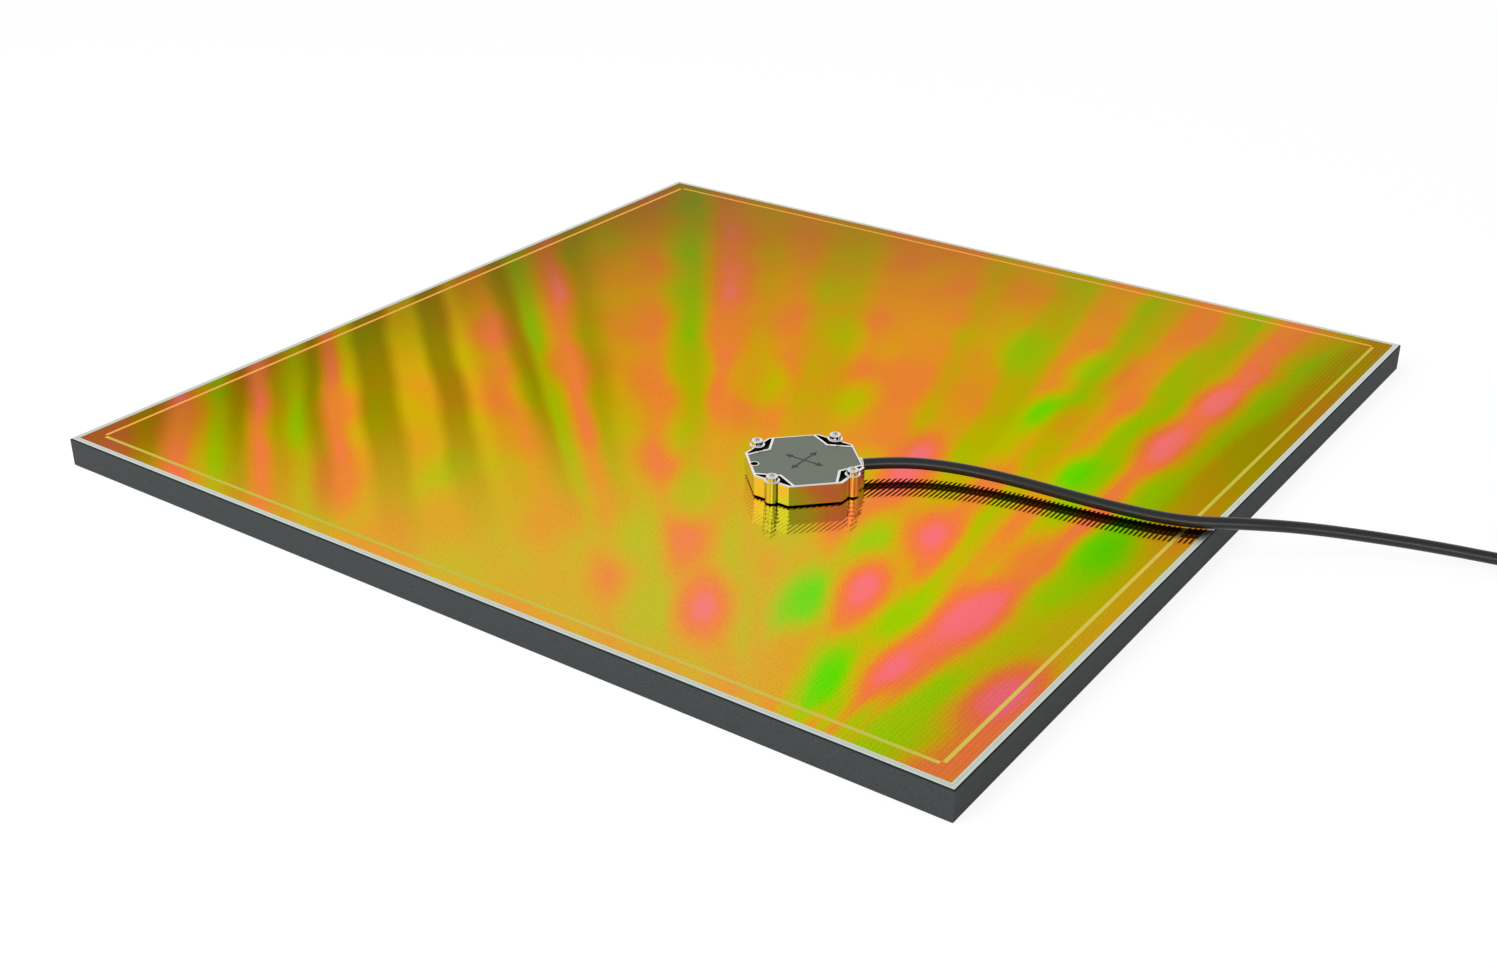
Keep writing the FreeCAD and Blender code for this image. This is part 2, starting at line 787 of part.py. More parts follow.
plate_pieces = {
    "plate_substrate": make_plate(),
    "coating_margin": make_coating_margin(),
    "grating_layer": make_grating(lines),
    "border_lines": lines,
}
head_pieces = {
    "head_housing": make_housing(),
    "head_cover": make_cover(),
    "mounting_screws": make_mounting_screws(),
    "mounting_washers": make_washers(),
    "scanning_reticle": make_reticle(),
    "lens_holder": make_lens_holder(),
    "condenser_lens": make_lens(),
    "light_source": make_emitter(),
    "photodetectors": make_detectors(),
    "sensor_board": make_board(),
    "sensor_chips": make_chips(chip_places, chip_sizes, board_level + board_thick),
    "board_screws": make_board_screws(),
    "cable_collar": make_collar(),
    "cable_end": make_cable_stub(),
    "cable_clamp": make_cable_clamp(),
    "clamp_screws": make_clamp_screws(),
    "head_cores": make_head_cores(),
}
cable_pieces = {
    "cable_run": cable_run,
    "cable_coil": make_coil([cable_run, cable_tail]),
    "coil_tie": make_coil_tie(),
    "cable_tail": cable_tail,
}
plug_pieces = {
    "plug_boot": make_boot(),
    "hood_lower": hood_half_of(hood, 0, plug_axis),
    "hood_upper": hood_half_of(hood, plug_axis, hood_height),
    "hood_screws": make_hood_screws(),
    "plug_shell": make_shell(),
    "pin_insert": make_insert(),
    "contact_pins": make_pins(),
    "interface_board": make_plug_board(),
    "interface_chips": make_chips(plug_chip_places, plug_chip_sizes, plug_axis + plug_board_thick / 2),
    "plug_cores": make_plug_cores(),
    "jackscrew_left": make_jackscrew(1),
    "jackscrew_right": make_jackscrew(-1),
}

os.makedirs("parts", exist_ok=True)
at_home = FreeCAD.Placement()
for pieces, placing in ((plate_pieces, at_home), (head_pieces, head_placing),
                        (cable_pieces, at_home), (plug_pieces, plug_placing)):
    for node, shape in pieces.items():
        solids = shape if isinstance(shape, list) else [shape]
        group = Part.makeCompound([s.transformed(placing.toMatrix(), True) for s in solids])
        group.exportStep("parts/" + node + ".step")
        print(node, "solids", len(group.Solids), "volume %.2f" % group.Volume)
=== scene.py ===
import bpy
import math
from mathutils import Matrix, Vector


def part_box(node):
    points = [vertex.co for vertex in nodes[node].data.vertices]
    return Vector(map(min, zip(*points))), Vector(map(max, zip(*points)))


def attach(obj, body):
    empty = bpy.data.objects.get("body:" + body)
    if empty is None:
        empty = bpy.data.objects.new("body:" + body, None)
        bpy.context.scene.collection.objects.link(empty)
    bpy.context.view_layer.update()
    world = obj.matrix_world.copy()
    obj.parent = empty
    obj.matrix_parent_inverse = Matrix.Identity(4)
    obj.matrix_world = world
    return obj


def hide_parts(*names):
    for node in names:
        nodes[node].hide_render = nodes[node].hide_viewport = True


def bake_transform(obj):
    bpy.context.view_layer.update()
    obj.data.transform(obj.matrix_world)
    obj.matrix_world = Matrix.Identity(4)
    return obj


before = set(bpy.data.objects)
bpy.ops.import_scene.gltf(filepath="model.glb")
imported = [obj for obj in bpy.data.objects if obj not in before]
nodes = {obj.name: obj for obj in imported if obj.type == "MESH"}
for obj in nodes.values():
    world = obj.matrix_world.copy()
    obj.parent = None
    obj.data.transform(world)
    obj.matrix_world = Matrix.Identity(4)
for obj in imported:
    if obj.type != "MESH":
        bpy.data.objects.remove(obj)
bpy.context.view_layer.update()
mm = 0.001
print("frame loaded:", len(nodes), "nodes")


# Helpers for materials

def linear(hexColour):
    channels = []
    for start in (0, 2, 4):
        value = int(hexColour[start:start + 2], 16) / 255
        channels.append(value / 12.92 if value <= 0.04045 else ((value + 0.055) / 1.055) ** 2.4)
    return (*channels, 1.0)


def wire(tree, node, wires):
    # Input name or number -> a value, a socket, or a node whose first output is used
    for name, value in wires.items():
        source = value.outputs[0] if isinstance(value, bpy.types.Node) else value
        if isinstance(source, bpy.types.NodeSocket):
            tree.links.new(source, node.inputs[name])
        else:
            node.inputs[name].default_value = source


def addNode(tree, kind, wires=None, stops=(), **settings):
    node = tree.nodes.new("ShaderNode" + kind)
    for name, value in settings.items():
        setattr(node, name, value)
    for number, (place, colour) in enumerate(stops):
        points = node.color_ramp.elements
        point = points[number] if number < 2 else points.new(place)
        point.position = place
        point.color = colour
    wire(tree, node, wires or {})
    return node


def limits(side, pair):
    # The two ends of a range's "From" or "To" side
    return {side + " Min": pair[0], side + " Max": pair[1]}


def toneStops(places, colours):
    return [(place, linear(colour)) for place, colour in zip(places, colours)]


def newMaterial(name, **sockets):
    material = bpy.data.materials.new(name)
    material.use_nodes = True
    tree = material.node_tree
    shader = tree.nodes["Principled BSDF"]
    for socket, value in sockets.items():
        shader.inputs[socket.replace("_", " ")].default_value = value
    return material, tree, shader


def grey(level):
    return (level, level, level, 1.0)


grainPattern = {
    "toneSpan": (0.3, 0.7),     # levels of the noise at which the two tones are full
    "detail": 3.0,
    "depth": 0.2,               # the relief's depth as a share of the grain
}


def grainFinish(name, look):
    # A finish with a fine grain: two tones, two levels of gloss and a shallow relief, all on one noise
    material, tree, shader = newMaterial(name, Metallic=look.get("metallic", 0.0),
                                         Specular_IOR_Level=look.get("specular", 0.5))
    place = addNode(tree, "TexCoord").outputs["Object"]
    size = look["grain"] * mm
    grain = addNode(tree, "TexNoise", {"Vector": place, "Scale": 1 / size, "Detail": grainPattern["detail"]})
    tone = addNode(tree, "ValToRGB", {"Fac": grain}, toneStops(grainPattern["toneSpan"], look["colours"]))
    gloss = addNode(tree, "MapRange", {"Value": grain, **limits("To", look["roughness"])})
    relief = addNode(tree, "Bump", {
        "Height": grain, "Strength": look["relief"], "Distance": size * grainPattern["depth"]})
    wire(tree, shader, {"Base Color": tone, "Roughness": gloss, "Normal": relief})
    return material


def dress(material, *names):
    for name in names:
        mesh = nodes[name].data
        if not mesh.materials:
            mesh.materials.append(material)
        for slot in nodes[name].material_slots:
            slot.material = material


# Helpers for meshes

sameSpot = 1e-6    # m, places closer than this are one


def freshStart():
    if bpy.context.object and bpy.context.object.mode != "OBJECT":
        bpy.ops.object.mode_set(mode="OBJECT")
    bpy.ops.object.select_all(action="DESELECT")


def onlySelect(piece):
    freshStart()
    piece.select_set(True)
    bpy.context.view_layer.objects.active = piece


def pickVertices(piece, wanted):
    # Edit mode with the vertices selected whose place fits
    onlySelect(piece)
    bpy.ops.object.mode_set(mode="EDIT")
    bpy.ops.mesh.select_mode(type="VERT")
    bpy.ops.object.mode_set(mode="OBJECT")
    mesh = piece.data
    for vertex in mesh.vertices:
        vertex.select = wanted(vertex.co)
    for part in (*mesh.edges, *mesh.polygons):
        part.select = all(mesh.vertices[number].select for number in part.vertices)
    bpy.ops.object.mode_set(mode="EDIT")


def extrudeBy(x, y, z):
    bpy.ops.mesh.extrude_region_move(TRANSFORM_OT_translate={"value": (x * mm, y * mm, z * mm)})


def addModifier(piece, kind, **settings):
    modifier = piece.modifiers.new(kind.lower(), kind)
    for name, value in settings.items():
        setattr(modifier, name, value)
    onlySelect(piece)
    bpy.ops.object.modifier_apply(modifier=modifier.name)


def faceOutwards(piece):
    onlySelect(piece)
    bpy.ops.object.mode_set(mode="EDIT")
    bpy.ops.mesh.select_all(action="SELECT")
    bpy.ops.mesh.normals_make_consistent(inside=False)
    bpy.ops.object.mode_set(mode="OBJECT")


def turnedPiece(rings, sides, closed=False):
    # A lathe shape about Z, made ring by ring from (radius, height) in mm
    freshStart()
    radius, height = rings[0]
    bpy.ops.mesh.primitive_circle_add(vertices=sides, radius=radius * mm, location=(0, 0, height * mm))
    piece = bpy.context.object
    bpy.ops.object.transform_apply(location=True)
    bpy.ops.object.mode_set(mode="EDIT")
    bpy.ops.mesh.select_all(action="SELECT")
    for (radius, height), (nextRadius, nextHeight) in zip(rings, rings[1:]):
        extrudeBy(0, 0, nextHeight - height)
        bpy.ops.transform.resize(value=(nextRadius / radius, nextRadius / radius, 1))
    if not closed:
        bpy.ops.mesh.edge_face_add()
    ends = (rings[0], rings[-1]) if closed else rings[:1]
    pickVertices(piece, lambda place: any(
        math.dist((place.xy.length, place.z), (radius * mm, height * mm)) < sameSpot
        for radius, height in ends))
    if closed:
        bpy.ops.mesh.bridge_edge_loops()
    else:
        bpy.ops.mesh.edge_face_add()
    faceOutwards(piece)
    return piece


def settle(piece, name, material, body, smoothDegrees=35):
    # Name, finish and body of a piece whose place goes into its mesh
    onlySelect(piece)
    bpy.ops.object.transform_apply(location=True, rotation=True, scale=True)
    bpy.ops.object.shade_smooth_by_angle(angle=math.radians(smoothDegrees))
    piece.name = piece.data.name = name
    piece.data.materials.clear()
    piece.data.materials.append(material)
    if body:
        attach(piece, body)
    return piece


def settledCopies(piece, name, places, material, body):
    # Copies with their own meshes, one at each place; the piece itself takes the last place
    copies = []
    for number, place in enumerate(places, 1):
        copy = piece
        if number < len(places):
            onlySelect(piece)
            bpy.ops.object.duplicate()
            copy = bpy.context.object
        copy.location = place
        copies.append(settle(copy, name + "_" + str(number), material, body))
    return copies


# Camera at the photograph's viewpoint

viewpoint = {
    "location": (0.39955, -0.58823, 0.33274),
    "aim": (0.0404, -0.0753, 0.012),
    "rollDegrees": 0.134,
    "lens": 44.70,
    "sensor": 36.0,
}


def makeCamera():
    camera = bpy.data.cameras.new("camera")
    camera.lens = viewpoint["lens"]
    camera.sensor_width = viewpoint["sensor"]
    holder = bpy.data.objects.new("camera", camera)
    bpy.context.scene.collection.objects.link(holder)
    looking = Vector(viewpoint["aim"]) - Vector(viewpoint["location"])
    turn = looking.to_track_quat("-Z", "Y").to_matrix().to_4x4()
    roll = Matrix.Rotation(math.radians(viewpoint["rollDegrees"]), 4, "Z")
    holder.matrix_world = Matrix.Translation(viewpoint["location"]) @ turn @ roll
    bpy.context.scene.camera = holder


makeCamera()
bpy.context.scene.view_settings.view_transform = "Standard"
print("camera placed")


# Cable: out of the collar, over the plate and its edge, down to the floor, into a coil and to the plug

cable = {
    "diameter": 0.0045,             # m, as the other sizes
    "length": 1.0,
    "exit": (0.073110, -0.046790, 0.0169),
    "run": (
        (0.082514, -0.037386, 0.0169),
        (0.0995, -0.0290, 0.0166),
        (0.1235, -0.0235, 0.0159),
        (0.1600, -0.0210, 0.0150),
        (0.1890, -0.0160, 0.0146),
        (0.2085, -0.0040, 0.0147),
        (0.2285, 0.0130, 0.0114),
        (0.2610, 0.0310, 0.0074),
        (0.2910, 0.0435, 0.0040),
    ),
    "coilCentre": (0.3130, 0.0820),
    "coilRadius": 0.0309,
    "coilSpread": 0.0097,
    "coilLevels": (0.0030, 0.0075),
    "coilAngles": (-80, 1440),
    "climbDegrees": 110,
    "pointsPerTurn": 16,
    "tail": (
        (0.3443, 0.0940, 0.00755),
        (0.3430, 0.1055, 0.0080),
        (0.3430, 0.1180, 0.0080),
    ),
    "bendStart": (0.0731, -0.0468, 0.0169),    # the two ends of a stretch of the cable: here
    "bendEnd": (0.1990, -0.0100, 0.0147),      # and here
    "sides": 10,
    "stepsPerPoint": 8,
}


def coilPoints():
    # A spiral inwards on the floor, then one outwards on top of it
    first, last = cable["coilAngles"]
    middle = (first + last) / 2
    count = round((last - first) / 360 * cable["pointsPerTurn"])
    low, high = cable["coilLevels"]
    # The spline runs inside its points by this share
    inside = 0.75 + 0.25 * math.cos(2 * math.pi / cable["pointsPerTurn"])
    points = []
    for number in range(count + 1):
        angle = first + (last - first) * number / count
        inward = 1 - abs(angle - middle) / (middle - first)
        radius = (cable["coilRadius"] - cable["coilSpread"] * inward) / inside
        climb = min(max((angle - middle) / cable["climbDegrees"] + 0.5, 0), 1)
        level = low + (high - low) * climb * climb * (3 - 2 * climb)
        x = cable["coilCentre"][0] + radius * math.cos(math.radians(angle))
        y = cable["coilCentre"][1] + radius * math.sin(math.radians(angle))
        points.append((x, y, level))
    return points


def makeCable(material):
    route = [cable["exit"], *cable["run"], *coilPoints(), *cable["tail"]]
    curve = bpy.data.curves.new("cable_line", "CURVE")
    curve.dimensions = "3D"
    curve.resolution_u = cable["stepsPerPoint"]
    spline = curve.splines.new("NURBS")
    spline.points.add(len(route) - 1)
    for point, place in zip(spline.points, route):
        point.co = (*place, 1.0)
    spline.order_u = 3
    spline.use_endpoint_u = True
    piece = bpy.data.objects.new("cable_line", curve)
    bpy.context.scene.collection.objects.link(piece)
    bpy.context.view_layer.update()
    line = bpy.data.meshes.new_from_object(piece)
    path = [tuple(vertex.co) for vertex in line.vertices]
    curve.bevel_depth = cable["diameter"] / 2
    curve.bevel_resolution = cable["sides"]
    curve.use_fill_caps = True
    onlySelect(piece)
    bpy.ops.object.convert(target="MESH")
    piece = settle(bpy.context.object, "cable", material, None, smoothDegrees=60)
    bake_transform(piece)
    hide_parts("cable_run", "cable_coil", "cable_tail")
    return piece, path


jacket = grainFinish("polyurethane_jacket_matt_black", {
    # Extruded polyurethane with a matt finish: black, with a soft sheen and a very fine tooth
    "colours": ("141515", "1c1d1d"), "grain": 0.5, "roughness": (0.24, 0.32), "relief": 0.08,
    "specular": 0.35,
})
cablePiece, cablePath = makeCable(jacket)
dress(jacket, "cable_end")
print("cable laid:", round(sum(math.dist(a, b) for a, b in zip(cablePath, cablePath[1:])), 4), "m")


# Floor, surroundings and lamps

studio = {
    "floorSide": 8.0,
    "floorDrop": 0.00005,
    "floorColour": "e8e8e8",
    "floorWhite": 1.02,             # the open floor's level in the picture
    "floorLight": 0.75,             # the part of it that the lamps give where nothing shades it
    "shadowShare": 0.22,            # how much of it a shadow can take away
    "worldForDiffuse": 0.40,        # strength of the light that falls on things from all round
    "zenith": (0.55, 0.65),         # height from which the white turns greyer, and its level overhead
    "mirroredFrom": 1.5,            # glossy bounces, so it takes two
    # What the head mirrors by way of the plate, beside the white:
    # direction, cosine where it starts, strength added
    "mirrored": (((-0.54, -0.84, 0.10), 0.70, 0.85), ((0.82, -0.50, 0.28), 0.75, -0.40),
                 ((0.50, -0.80, 0.35), 0.92, 1.30), ((0.50, 0.77, 0.42), 0.88, -0.45)),
    "lamps": (
        # name, place, size, watts
        ("key_softbox", (-0.45, -1.00, 1.15), 1.1, 11.0),
        ("fill_softbox", (0.20, -1.15, 0.80), 1.0, 3.2),
        ("back_softbox", (0.10, 1.25, 1.25), 1.0, 3.2),
    ),
    # A low strip light that makes the band of light along the cable and shines only there:
    # place, width, height, watts
    "strip": ((0.70, -1.16, 0.31), 1.8, 0.35, 7.5),
}


def seenDirectly(tree):
    # 1 for camera, glossy and transmission rays, 0 for the light that falls on things
    path = addNode(tree, "LightPath")
    direct = addNode(tree, "Math", {0: path.outputs["Is Camera Ray"], 1: path.outputs["Is Glossy Ray"]},
                     operation="ADD")
    return addNode(tree, "Math", {0: direct, 1: path.outputs["Is Transmission Ray"]}, operation="ADD",
                   use_clamp=True)


def makeWorld():
    world = bpy.data.worlds.new("white_studio")
    bpy.context.scene.world = world
    world.use_nodes = True
    tree = world.node_tree
    back = tree.nodes["Background"]
    direction = addNode(tree, "TexCoord").outputs["Generated"]
    height = addNode(tree, "SeparateXYZ", {0: direction}).outputs["Z"]
    darkensFrom, topLevel = studio["zenith"]
    overhead = addNode(tree, "ValToRGB", {"Fac": height}, stops=(
        (darkensFrom, grey(1.0)), (1.0, grey(topLevel))))
    mirrored = 1.0
    for towards, start, added in studio["mirrored"]:
        facing = addNode(tree, "VectorMath", {0: direction, 1: Vector(towards).normalized()},
                         operation="DOT_PRODUCT").outputs["Value"]
        change = addNode(tree, "MapRange", {"Value": facing, "From Min": start, "To Max": added},
                         interpolation_type="SMOOTHSTEP")
        mirrored = addNode(tree, "Math", {0: mirrored, 1: change}, operation="ADD")
    bounces = addNode(tree, "LightPath").outputs["Glossy Depth"]
    isMirroredTwice = addNode(tree, "Math", {0: bounces, 1: studio["mirroredFrom"]}, operation="GREATER_THAN")
    white = addNode(tree, "MixRGB", {"Fac": isMirroredTwice, "Color1": grey(1.0), "Color2": mirrored})
    strength = addNode(tree, "MapRange", {
        "Value": seenDirectly(tree), **limits("To", (studio["worldForDiffuse"], white))})
    wire(tree, back, {"Color": overhead, "Strength": strength})


def makeFloor():
    freshStart()
    bpy.ops.mesh.primitive_plane_add(size=studio["floorSide"], location=(0, 0, -studio["floorDrop"]))
    floor = bpy.context.object
    floor.name = "floor"
    # Matt white paper: plain white to the eye, darker only in the object's shadow
    material, tree, shader = newMaterial("white_paper_floor")
    tree.nodes.remove(shader)
    paper = addNode(tree, "BsdfDiffuse", {"Color": linear(studio["floorColour"])})
    share = studio["shadowShare"]
    shaded = addNode(tree, "BsdfDiffuse", {"Color": grey(share)})
    white = addNode(tree, "Emission", {"Strength": studio["floorWhite"] - studio["floorLight"] * share})
    shown = addNode(tree, "AddShader", {0: shaded, 1: white})
    both = addNode(tree, "MixShader", {0: seenDirectly(tree), 1: paper, 2: shown})
    wire(tree, tree.nodes["Material Output"], {"Surface": both})
    floor.data.materials.append(material)


def makeLamp(name, place, width, height, watts):
    lamp = bpy.data.lights.new(name, "AREA")
    lamp.shape = "RECTANGLE"
    lamp.size, lamp.size_y = width, height
    lamp.energy = watts
    holder = bpy.data.objects.new(name, lamp)
    bpy.context.scene.collection.objects.link(holder)
    holder.location = place
    holder.rotation_euler = (-Vector(place)).to_track_quat("-Z", "Y").to_euler()
    return holder


def makeLamps():
    for name, place, size, watts in studio["lamps"]:
        # Only the surroundings are mirrored
        makeLamp(name, place, size, size, watts).visible_glossy = False
    strip = makeLamp("cable_strip", *studio["strip"])
    lit = bpy.data.collections.new("lit_by_strip")
    lit.objects.link(cablePiece)
    strip.light_linking.receiver_collection = lit


makeWorld()
makeFloor()
makeLamps()
print("studio lit")


# Grid plate

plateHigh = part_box("plate_substrate")[1]

substrateLook = {
    "face": ("484b4c", "535757"),
    "toneSpan": (0.35, 0.65),       # levels of the noise at which the two tones are full
    "roughness": (0.5, 0.62),
    "grit": 0.35,                   # mm
    "relief": (0.12, 0.05),         # strength, and mm
    # painted shade: a darker line along the top of the sides, under the coated edge
    "paintedEdgeShade": "2c3335",
    "edgeDepths": (0.65, 0.35),     # mm below the coated face, the painted shade line fades in between these
}

coatingLook = {
    "band": ("c1c8bd", "c8cfc6"),
    "toneSpan": (0.35, 0.65),
    "roughness": (0.22, 0.36),
    "haze": 6.0,                    # mm
    "innerHighlight": "c9dad6",
    "outerLine": "dadfd6",
    "lineWidth": 0.45,              # mm
}

gratingLook = {
    # The streaks fan out from the focus, and left of the last direction they run parallel
    "focus": (0.164, -0.278),
    "lastDirection": 138.5,         # degrees
    "leftSpacing": 5.0,             # mm, counted as one degree where the streaks are parallel
    # Streaks: tone (0 green, 0.5 gold, 1 pink), shade (0 dark, 1 bright), then their directions in degrees
    "streaks": {
        "rose": (0.85, 0.95, (90.5, 91.5, 124.5, 135, 154.5, 160.5, 167)),
        "ember": (0.80, 0.55, (171.5,)),
        "orange": (0.72, 0.92, (95.5, 96.5, 100.5, 101.5, 110, 111.5, 114.5, 120, 129, 140)),
        "amber": (0.60, 0.87, (92, 105.5, 107, 122, 131.5, 141.5)),
        "gold": (0.50, 1.00, (143, 147, 148.5, 153)),
        "brass": (0.50, 0.83, (89.5, 108.5, 116.5, 118, 165)),
        "moss": (0.40, 0.80, (94.5, 98, 103, 104.5)),
        "green": (0.30, 0.78, (88.5, 93, 99, 126.5, 137, 157.5, 164)),
        "dusk": (0.50, 0.62, (84.5, 87, 133.5, 159)),
        "dark": (0.50, 0.47, (138, 144.5, 145.5, 150, 151.5, 156, 162, 169)),
    },
    # Patches on the streaks, laid one hue over the other: tone, then degrees and mm along from the focus
    "patches": {
        "coral": (0.85, (
            (92.5, 150), (78, 118), (129, 260), (127, 192), (160.5, 375), (111.5, 218), (140, 395))),
        "orange": (0.76, (
            (105.5, 155), (97.5, 380), (124, 385), (111.5, 344), (92.5, 211), (77, 99), (72, 100),
            (129.5, 328), (136, 166), (135.5, 350), (141, 324), (154, 328), (154.5, 262), (167, 328),
            (123, 304), (109.5, 236), (111, 280), (77.5, 89), (82, 132), (90, 148))),
        "olive": (0.38, (
            (93, 396), (102, 295), (114.5, 314), (116.5, 386), (83, 95), (118, 236), (117.5, 208),
            (121, 330), (126.5, 343), (127, 278), (132.5, 192), (132, 146), (138, 330), (157.5, 363),
            (126, 229), (112, 250), (85, 102), (86.5, 100), (86, 158))),
        "lime": (0.25, (
            (88.5, 380), (94, 326), (88.5, 281), (87, 196), (99.5, 380), (104.5, 390), (107.5, 196),
            (100, 153), (87, 120), (86.5, 82))),
        "green": (0.03, ((95, 281), (87.5, 231), (100.5, 329), (112, 155), (103.5, 109))),
        "pink": (0.96, (
            (91, 375), (91.5, 324), (107.5, 273), (108, 252), (102.5, 211), (93, 164), (92, 172),
            (106, 168), (95, 124), (79.5, 131), (125, 144))),
        "gold": (0.58, ((98.5, 324), (112, 109), (148, 225), (122.5, 337), (117, 290), (124.5, 268))),
    },
    "patchSize": (36.0, 15.5),      # mm along and across a streak
    "patchCore": 0.05,              # share of that size with the full tone
    "patchDirections": (80, 94, 108, 122, 136),     # degrees, each patch lies along the nearest
    "toneSpan": (0.00, 0.14, 0.28, 0.40, 0.52, 0.64, 0.76, 0.88, 1.00),
    "tones": ("4adc00", "74d402", "a0c804", "beba0a", "d4aa16", "e49722", "ee8036", "f7704e", "fc6a8e"),
    "edgeTint": "ebdfb6",           # keeps the colour at grazing angles
    "cloud": (5.0, 60.0),           # degrees across and mm along a streak
    "cloudSpan": (0.25, 0.75),      # levels of the noise at which a swing is full
    "cloudSwing": 0.13,             # of the tone
    "waver": 0.3,                   # degrees that the clouds push a streak aside
    "calm": (0.330, 0.160),         # m along, towards the focus the streaks fade out between these
    "calmShare": (102.0, 116.0, 0.3),   # degrees, right of the first they fade by this share only
    "nearTone": 0.50,               # what they fade into
    "shadeFade": (0.360, 0.180),    # m along, and their shade fades between these
    "nearPaintedBloom": ("d8b878", 0.15),   # a pale bloom of painted light towards the focus, and its share
    "outerTone": 0.05,              # more orange outside the border lines
    # Painted shade where the plate grows darker: m between which it does, and its levels there
    "dims": {
        "backLeft": ((0.02, 0.36), (1.06, 0.55)),    # counted in Y - X
        "left": ((-0.13, -0.20), (1.0, 0.64)),       # in X
        "right": ((0.14, 0.19), (1.0, 0.78)),
        "back": ((0.08, 0.20), (1.0, 0.90)),         # in Y
    },
    "linePitch": 1.7,               # mm; the real lines are far finer, these are as coarse as they show
    "lean": (-0.045, 0.060),        # slopes of the lines' faces
    "grain": 0.55,                  # mm
    "grainLevels": (0.74, 1.26),    # how much darker and brighter it makes the colour
    "roughness": (0.05, 0.11),
}

lineLook = {
    "front": ("bcc64a", "d0c45c"),
    "right": ("c2c24a", "dcc65a"),
    "back": "f4ae56",
    "left": "ffb45c",
    "cloud": 70.0,                  # mm, over which the two tones change
    "toneSpan": (0.38, 0.62),
    "roughness": (0.2, 0.35),
    "inset": 12.0,                  # mm from the plate's edge, a side's line lies outside this
}


def substrateFinish():
    # Glass ceramic with ground sides: dull dark grey and a faint grit, with a darker line at the coated edge
    # that is painted shade
    look = substrateLook
    material, tree, shader = newMaterial("ground_glass_ceramic", Specular_IOR_Level=0.04)
    place = addNode(tree, "TexCoord").outputs["Object"]
    grit = addNode(tree, "TexNoise", {"Vector": place, "Scale": 1 / (look["grit"] * mm), "Detail": 4.0})
    tone = addNode(tree, "ValToRGB", {"Fac": grit}, toneStops(look["toneSpan"], look["face"]))
    height = addNode(tree, "SeparateXYZ", {0: place}).outputs["Z"]
    # Painted shade: a darker line just under the coated edge
    edge = addNode(tree, "MapRange", {
        "Value": height, **limits("From", [plateHigh.z - depth * mm for depth in look["edgeDepths"]])})
    colour = addNode(tree, "MixRGB", {"Fac": edge, "Color1": tone, "Color2": linear(look["paintedEdgeShade"])})
    gloss = addNode(tree, "MapRange", {"Value": grit, **limits("To", look["roughness"])})
    strength, depth = look["relief"]
    relief = addNode(tree, "Bump", {"Height": grit, "Strength": strength, "Distance": depth * mm})
    wire(tree, shader, {"Base Color": colour, "Roughness": gloss, "Normal": relief})
    return material


def sideDistances(tree):
    # Object coordinates, their axes, and how far a point is from the plate's middle, as a square
    place = addNode(tree, "TexCoord").outputs["Object"]
    axes = addNode(tree, "SeparateXYZ", {0: place}).outputs
    across, along = [addNode(tree, "Math", {0: axes[axis]}, operation="ABSOLUTE") for axis in "XY"]
    square = addNode(tree, "Math", {0: across, 1: along}, operation="MAXIMUM")
    return place, axes, square


def coatingFinish():
    # Bare metal coating round the grating: a pale satin mirror with a bright line on each side; the inner one
    # is a painted highlight
    look = coatingLook
    material, tree, shader = newMaterial("bare_evaporated_coating", Metallic=1.0)
    place, _, square = sideDistances(tree)
    haze = addNode(tree, "TexNoise", {"Vector": place, "Scale": 1 / (look["haze"] * mm), "Detail": 3.0})
    colour = addNode(tree, "ValToRGB", {"Fac": haze}, toneStops(look["toneSpan"], look["band"]))
    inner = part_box("grating_layer")[1].x + look["lineWidth"] * mm
    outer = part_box("coating_margin")[1].x - look["lineWidth"] * mm
    # The inner bright line is a painted highlight along the grating's edge
    for side, limit, line in (("LESS_THAN", inner, "innerHighlight"), ("GREATER_THAN", outer, "outerLine")):
        inLine = addNode(tree, "Math", {0: square, 1: limit}, operation=side)
        colour = addNode(tree, "MixRGB", {"Fac": inLine, "Color1": colour, "Color2": linear(look[line])})
    gloss = addNode(tree, "MapRange", {"Value": haze, **limits("To", look["roughness"])})
    wire(tree, shader, {"Base Color": colour, "Roughness": gloss})
    return material


def streakPlace(degrees, along):
    # Where a point on a streak lies on the plate, in m
    look = gratingLook
    direction = math.radians(min(degrees, look["lastDirection"]))
    beside = max(degrees - look["lastDirection"], 0) * look["leftSpacing"]
    x = look["focus"][0] + (along * math.cos(direction) - beside * math.sin(direction)) * mm
    y = look["focus"][1] + (along * math.sin(direction) + beside * math.cos(direction)) * mm
    return Vector((x, y, 0))


def streakPattern(tree, across):
    # Tone and shade of the streaks; where a ramp's stops don't suffice, further ramps add to the first
    mostStops = 32
    stops = sorted((degrees, tone, shade) for tone, shade, places in gratingLook["streaks"].values()
                   for degrees in places)
    sums = None
    for first in range(0, len(stops) - 1, mostStops - 1):
        chosen = stops[first:first + mostStops]
        low, high = chosen[0][0], chosen[-1][0]
        share = addNode(tree, "MapRange", {"Value": across, **limits("From", (low, high))})
        ramp = addNode(tree, "ValToRGB", {"Fac": share}, stops=[
            ((degrees - low) / (high - low), (tone, shade, 0.0, 1.0)) for degrees, tone, shade in chosen])
        ramp.color_ramp.interpolation = "EASE"
        levels = addNode(tree, "SeparateColor", {0: ramp}).outputs[:2]
        if sums:
            rises = [addNode(tree, "Math", {0: level, 1: base}, operation="SUBTRACT")
                     for level, base in zip(levels, chosen[0][1:])]
            sums = [addNode(tree, "Math", {0: before, 1: rise}, operation="ADD")
                    for before, rise in zip(sums, rises)]
        else:
            sums = levels
    return sums


